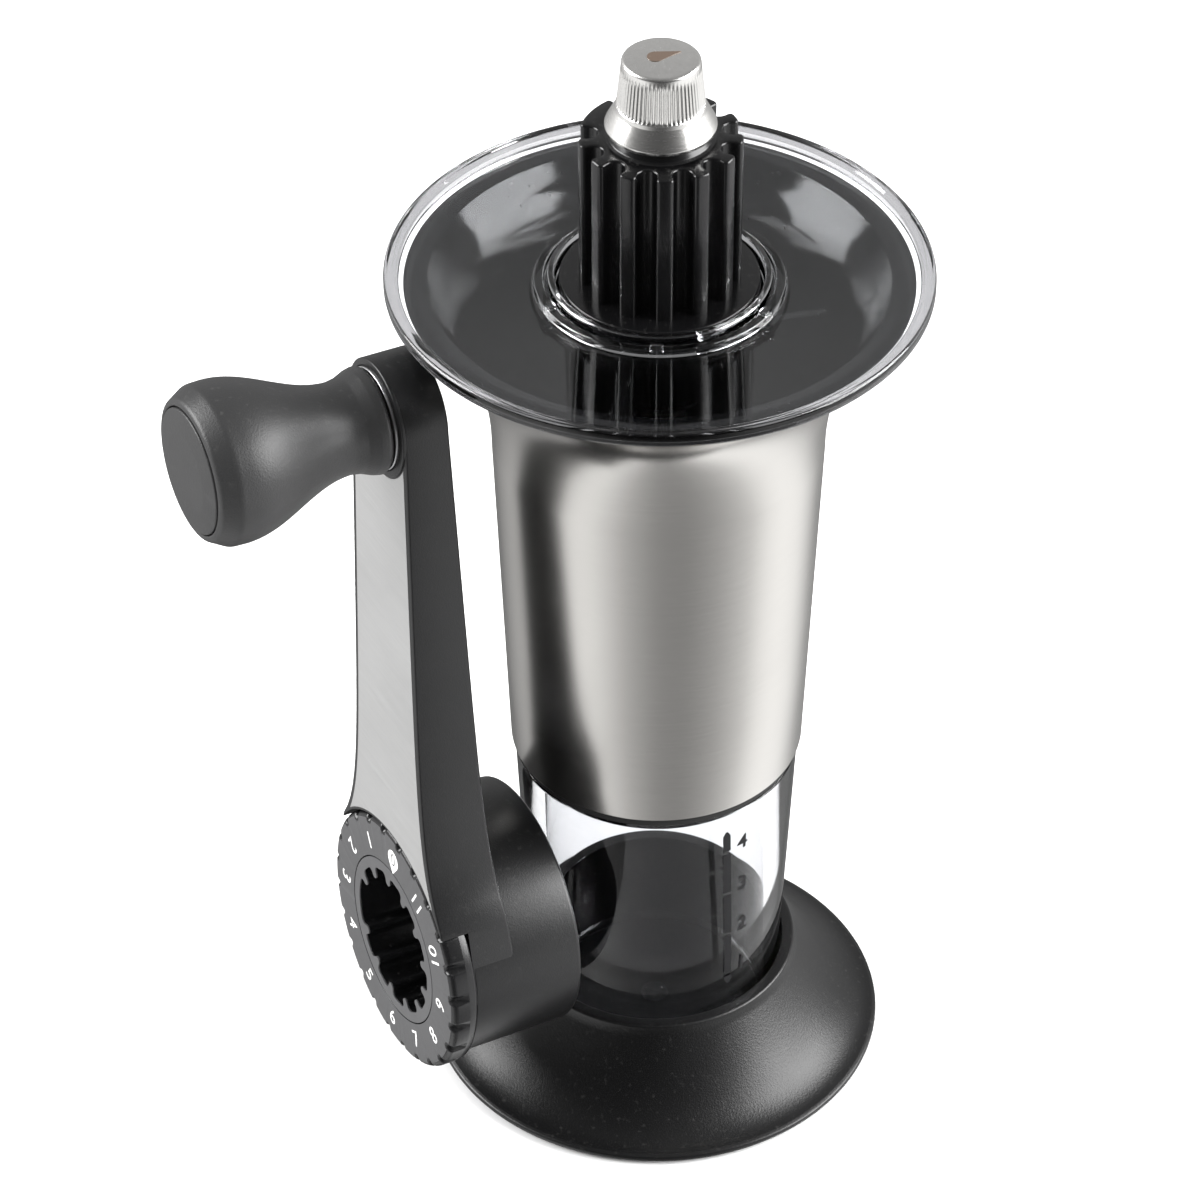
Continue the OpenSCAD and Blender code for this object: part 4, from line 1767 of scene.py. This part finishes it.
@dataclass
class NumberedDial:
    """The black dial ring with thumb notches and printed numbers, its front face painted grey as
    the light it catches.
    """

    frame: CrankFrame
    outer: float = 24.8
    inner: float = 16.3
    thick: float = 5.1
    notches: int = 24
    number_r: float = 19.7
    turn_deg: float = -3.0
    print_up: float = 0.02
    notch_half: float = 0.85
    notch_depth: float = 1.0
    digit_h: float = 3.4
    drop_body: float = 2.0
    drop_tip: float = 3.4

    def notched(self) -> bmesh.types.BMesh:
        """Builds the ring and presses the notches into its rim."""
        segments = self.notches * 24
        corners = [
            Corner(self.inner, -self.thick, 0.2),
            Corner(self.outer - 0.2, -self.thick, 0.5),
            Corner(self.outer, -self.thick + 1.6, 0.4),
            Corner(self.outer, 0.0, 1.3),
            Corner(self.inner, 0.0, 0.12),
        ]
        bm = ring_bmesh(corners, segments)
        pitch = FULL_TURN / self.notches
        for vert in bm.verts:
            radius = math.hypot(vert.co.x, vert.co.y)
            if radius > (self.outer - 1.5) * MM and vert.co.z > -3.4 * MM:
                turn = math.atan2(vert.co.y, vert.co.x) / pitch
                gap = abs(turn - 0.5 - round(turn - 0.5)) * pitch * self.outer
                dip = max(0.0, 1.0 - (gap / self.notch_half) ** 2) ** 0.5
                shrink = 1.0 - self.notch_depth * MM * dip / radius
                vert.co.x *= shrink
                vert.co.y *= shrink
        return bm

    def spot(self, index: float) -> Matrix:
        """Gives the place of a number, its top towards the dial's middle."""
        turn = math.radians(self.turn_deg) + index * FULL_TURN / 12.0
        return (
            self.frame.hub
            @ Matrix.Rotation(turn, 4, "Z")
            @ Matrix.Translation((self.number_r * MM, 0.0, self.print_up * MM))
            @ Matrix.Rotation(math.pi / 2, 4, "Z")
        )

    def oval(self, half_x: float, half_y: float) -> list[Point2]:
        """Gives the points of an oval in mm."""
        turns = [FULL_TURN * i / 24 for i in range(24)]
        return [(half_x * math.cos(turn), half_y * math.sin(turn)) for turn in turns]

    def drop(self) -> bpy.types.Object:
        """Builds the white teardrop with its zero, its tip towards the middle."""
        outline = teardrop(self.drop_body, self.drop_tip, 24, math.pi / 2)
        bm = bmesh.new()
        edges = []
        for loop in (outline, self.oval(0.85, 1.4)):
            verts = [bm.verts.new((x * MM, y * MM, 0.0)) for x, y in loop]
            edges += [bm.edges.new(pair) for pair in zip(verts, verts[1:] + verts[:1])]
        bmesh.ops.triangle_fill(bm, edges=edges, use_beauty=True)
        bm.faces.new([bm.verts.new((x * MM, y * MM, 0.0)) for x, y in self.oval(0.5, 1.05)])
        bmesh.ops.transform(bm, matrix=self.spot(0.0), verts=bm.verts[:])
        return finish_mesh("dial_zero_drop", bm)

    def build(self) -> None:
        """Builds the dial, its numbers and the zero's teardrop."""
        ring = finish_mesh("dial_ring_notched", self.notched(), sharp_deg=50.0)
        # Faces turned to the front take the painted light grey; the sides keep the dial's black.
        front = [face.index for face in ring.data.polygons if face.normal.z > 0.98]
        ring.data.transform(self.frame.hub)
        mount(ring, DIAL_BLACK, "dial", ["dial_ring"])
        ring.data.materials.append(FRONT_PAINTED_LIGHT_GREY.material())
        for index in front:
            ring.data.polygons[index].material_index = 1
        words = " ".join(str(i) for i in range(1, 12))
        places = [self.spot(float(i)) for i in range(1, 12)]
        numbers = lettering("dial_numbers", words, self.digit_h, places)
        mount(numbers, WHITE_PRINT, "dial")
        mount(self.drop(), WHITE_PRINT, "dial")


@dataclass
class HandGrip:
    """The waisted grip that spins on the crank's pin."""

    frame: CrankFrame
    length: float = 36.0
    belly: float = 14.3
    waist: float = 8.2
    neck: float = 9.9
    bore_r: float = 3.08
    cap_r: float = 11.1
    cap_seat: float = 2.4
    axle_r: float = 3.02
    washer_r: float = 9.2
    washer_h: float = 1.1

    def outline(self, spans: int = 26) -> list[Corner]:
        """Gives the grip's outline from the arm to its end."""
        swell = []
        start, end = 7.4, self.length - 7.0
        for i in range(spans + 1):
            share = i / spans
            ease = 0.5 * (1.0 - math.cos(math.pi * share))
            radius = self.waist + (self.belly - self.waist) * ease
            swell.append(Corner(radius, start + (end - start) * share))
        return [
            Corner(self.bore_r, 1.4),
            Corner(self.neck - 0.1, 1.4, 0.9),
            Corner(9.3, 3.6, 1.5),
            Corner(8.5, 5.6, 2.0),
            *swell,
            Corner(self.belly - 0.1, self.length - 4.4, 2.5),
            Corner(12.4, self.length - 1.2, 1.2),
            Corner(11.3, self.length - 0.9, 0.3),
            Corner(11.2, self.length - 2.0),
            Corner(self.bore_r, self.length - self.cap_seat),
        ]

    def build(self) -> None:
        """Builds the grip, its end cap and the bright ring at the arm."""
        grip = turned("grip_body", self.outline(), place=self.frame.grip, segments=160)
        mount(grip, CHARCOAL, "grip", ["grip"])
        cap = [
            Corner(0.0, self.length - self.cap_seat),
            Corner(self.cap_r, self.length - self.cap_seat),
            Corner(self.cap_r, self.length - 0.75, 0.3),
            Corner(7.0, self.length - 0.25, 6.0),
            Corner(0.0, self.length - 0.05),
        ]
        end = turned("grip_end_cap", cap, closed=False, place=self.frame.grip, segments=128)
        mount(end, CHARCOAL, "grip", ["grip_cap"])
        fillets = (0.0, 0.0, 0.25, 0.0)
        ring = band(self.axle_r, self.washer_r, 0.02, self.washer_h, fillets)
        washer = turned("grip_washer", ring, place=self.frame.grip, segments=96)
        mount(washer, TURNED_STEEL, "crank", ["grip_ring"])
        boss = [
            Corner(9.3, -0.2),
            Corner(10.6, -0.2),
            Corner(10.6, 0.45, 0.3),
            Corner(9.3, 0.75, 0.2),
        ]
        seat = turned("grip_seat_ring", boss, place=self.frame.grip, segments=96)
        mount(seat, BLACK_SATIN, "crank")


# ---------------------------------------------------------------- workings


@dataclass(frozen=True)
class Workings:
    """The CAD nodes that keep their own meshes, and their finishes."""

    finishes: tuple[tuple[str, Finish], ...] = (
        ("mill_body", BLACK_INNER),
        ("outer_burr", CERAMIC),
        ("inner_burr", CERAMIC),
        ("burr_retainer", TURNED_STEEL),
        ("burr_screws", TURNED_STEEL),
        ("upper_bush", BRASS),
        ("lower_bush", BRASS),
        ("drive_shaft", TURNED_STEEL),
        ("spring_seat", TURNED_STEEL),
        ("retaining_ring", SPRING_STEEL),
        ("detent_ball", TURNED_STEEL),
        ("detent_spring", SPRING_STEEL),
        ("adjust_rod", TURNED_STEEL),
        ("drive_pin", TURNED_STEEL),
        ("burr_nut", TURNED_STEEL),
        ("burr_spring", SPRING_STEEL),
        ("knob_insert", BRASS),
        ("liner_screws", TURNED_STEEL),
        ("grip_axle", TURNED_STEEL),
        ("axle_clip", SPRING_STEEL),
    )

    def build(self) -> None:
        """Dresses each node."""
        for name, finish in self.finishes:
            dress(frame["nodes"][name], finish)
            LOG.info("%s keeps its CAD mesh, in %s", name, finish.name)


# ---------------------------------------------------------------- studio


@dataclass(frozen=True)
class Softbox:
    """One large soft light aimed at the grinder."""

    name: str
    azimuth: float
    elevation: float
    width: float
    height: float
    power: float
    distance: float = 1.1

    def build(self, target: Vector) -> None:
        """Places the light.

        Args:
            target: the point it faces.
        """
        data = bpy.data.lights.new(self.name, "AREA")
        data.shape = "RECTANGLE"
        data.size, data.size_y = self.width, self.height
        data.energy = self.power
        lamp = bpy.data.objects.new(self.name, data)
        turn, lift = math.radians(self.azimuth), math.radians(self.elevation)
        away = Vector(
            (math.sin(turn) * math.cos(lift), -math.cos(turn) * math.cos(lift), math.sin(lift))
        )
        lamp.location = target + away * self.distance
        lamp.rotation_euler = away.to_track_quat("Z", "Y").to_euler()
        bpy.context.scene.collection.objects.link(lamp)


@dataclass
class Studio:
    """Pale floor, soft light and the camera.

    Each of surround and belt gives a direction in degrees, 0 at the front, and a brightness.
    """

    eye: Vector = field(default_factory=lambda: Vector((-0.01035, -0.65486, 0.64344)))
    pitch: float = math.radians(39.5825)
    roll: float = math.radians(-0.143)
    lens: float = 141.0
    sensor: float = 36.0
    fill: float = 0.95
    front_glow: float = 0.05
    back_glow: float = 0.45
    belt_z: Point2 = (-0.62, -0.5)
    upper_z: Point2 = (-0.12, 0.04)
    aim: tuple[float, float, float] = (0.0, 0.0, 0.1)
    floor_half: float = 6.0
    surround: tuple[Point2, ...] = (
        (-180.0, 0.18),
        (-157.0, 0.2),
        (-124.0, 0.7),
        (-96.0, 0.42),
        (-76.0, 1.1),
        (-60.0, 1.35),
        (-47.0, 1.2),
        (-24.0, 0.66),
        (0.0, 0.38),
        (21.0, 0.35),
        (44.0, 0.52),
        (69.0, 0.9),
        (83.0, 1.4),
        (99.0, 1.55),
        (118.0, 1.4),
        (146.0, 0.42),
        (180.0, 0.18),
    )
    belt: tuple[Point2, ...] = (
        (-180.0, 0.25),
        (-140.0, 0.5),
        (-100.0, 1.1),
        (-45.0, 1.2),
        (-26.0, 0.35),
        (-12.0, 0.1),
        (12.0, 0.1),
        (26.0, 0.4),
        (45.0, 1.25),
        (105.0, 1.25),
        (140.0, 0.5),
        (180.0, 0.25),
    )

    def camera(self) -> None:
        """Creates the camera and makes it the scene's."""
        data = bpy.data.cameras.new("camera")
        data.lens = self.lens
        data.sensor_width = self.sensor
        data.clip_start, data.clip_end = 0.05, 50.0
        camera = bpy.data.objects.new("camera", data)
        up = Vector((0.0, math.sin(self.pitch), math.cos(self.pitch)))
        back = Vector((0.0, -math.cos(self.pitch), math.sin(self.pitch)))
        right = Vector((1.0, 0.0, 0.0))
        c, s = math.cos(self.roll), math.sin(self.roll)
        turn = Matrix((c * right + s * up, -s * right + c * up, back)).transposed().to_4x4()
        camera.matrix_world = Matrix.Translation(self.eye) @ turn
        bpy.context.scene.collection.objects.link(camera)
        bpy.context.scene.camera = camera

    def floor(self) -> None:
        """Lays the pale floor."""
        bm = bmesh.new()
        bmesh.ops.create_grid(bm, x_segments=1, y_segments=1, size=self.floor_half)
        floor = finish_mesh("floor", bm)
        material = bpy.data.materials.new("pale floor")
        material.use_nodes = True
        shader = material.node_tree.nodes["Principled BSDF"]
        shader.inputs["Base Color"].default_value = (0.9, 0.9, 0.9, 1.0)
        shader.inputs["Roughness"].default_value = 0.9
        shader.inputs["Specular IOR Level"].default_value = 0.1
        floor.data.materials.append(material)
        floor.visible_glossy = False

    def light(self) -> None:
        """Hangs the softboxes and lights the room."""
        target = Vector(self.aim)
        for box in (
            Softbox("left box", -97.0, 29.0, 0.68, 0.68, 17.0),
            Softbox("right box", 85.0, 24.0, 0.9, 0.8, 27.0),
        ):
            box.build(target)
        bpy.context.scene.world = self.room()

    def ramp(self, graph: Graph, azimuth: Any, levels: Sequence[Point2]) -> Any:
        """Adds the brightness of the surroundings by direction.

        Args:
            graph: the world's graph.
            azimuth: direction in radians, 0 at the front, rising towards +X.
            levels: angles in degrees, each with its brightness.

        Returns:
            The brightness as a colour socket.
        """
        share = graph.remap(azimuth, (-math.pi, math.pi))
        ramp = graph.add("ShaderNodeValToRGB")
        elements = ramp.color_ramp.elements
        while len(elements) < len(levels):
            elements.new(0.5)
        for element, (angle, level) in zip(elements, levels):
            element.position = (angle + 180.0) / 360.0
            element.color = (level, level, level, 1.0)
        graph.link(share, ramp.inputs["Fac"])
        return ramp.outputs["Color"]

    def room(self) -> bpy.types.World:
        """Builds the room: plain white light, and what glossy surfaces mirror.

        Returns:
            The world.
        """
        world = bpy.data.worlds.new("studio")
        world.use_nodes = True
        graph = Graph(world.node_tree)
        graph.tree.nodes.clear()
        x, y, z = graph.split(graph.place("Generated"))
        azimuth = graph.math("ARCTAN2", x, graph.math("MULTIPLY", y, -1.0))
        backwards = graph.math("ADD", graph.math("MULTIPLY", y, 0.5), 0.5)
        rise = graph.math("MULTIPLY", backwards, self.back_glow)
        upper = graph.math("ADD", rise, self.front_glow)
        table = self.ramp(graph, azimuth, self.surround)
        belt = self.ramp(graph, azimuth, self.belt)
        lower = graph.blend(graph.remap(z, self.belt_z), table, belt)
        mirrored = graph.blend(graph.remap(z, self.upper_z), lower, upper)
        path = graph.add("ShaderNodeLightPath")
        seen = graph.blend(path.outputs["Is Glossy Ray"], (1.0, 1.0, 1.0), mirrored)
        glow = graph.add("ShaderNodeBackground", {"Strength": self.fill})
        out = graph.add("ShaderNodeOutputWorld")
        graph.link(seen, glow.inputs["Color"])
        graph.link(glow.outputs[0], out.inputs["Surface"])
        return world

    def build(self) -> None:
        """Builds floor, lights and camera, and sets plain colour handling."""
        bpy.context.scene.view_settings.view_transform = "Standard"
        self.floor()
        self.light()
        self.camera()


def main() -> None:
    """Builds the grinder's sub-assemblies in order, then the studio."""
    logging.basicConfig(level=logging.INFO, format="%(name)s: %(message)s")
    crank_frame = CrankFrame.from_joints()
    for part in (
        FlaredFoot(),
        ClearJar(),
        MillHead(),
        DishLid(),
        DriveDrum(),
        AdjusterKnob(),
        Crank(crank_frame),
        NumberedDial(crank_frame),
        HandGrip(crank_frame),
        Workings(),
    ):
        part.build()
    Studio().build()


if __name__ == "__main__":
    main()
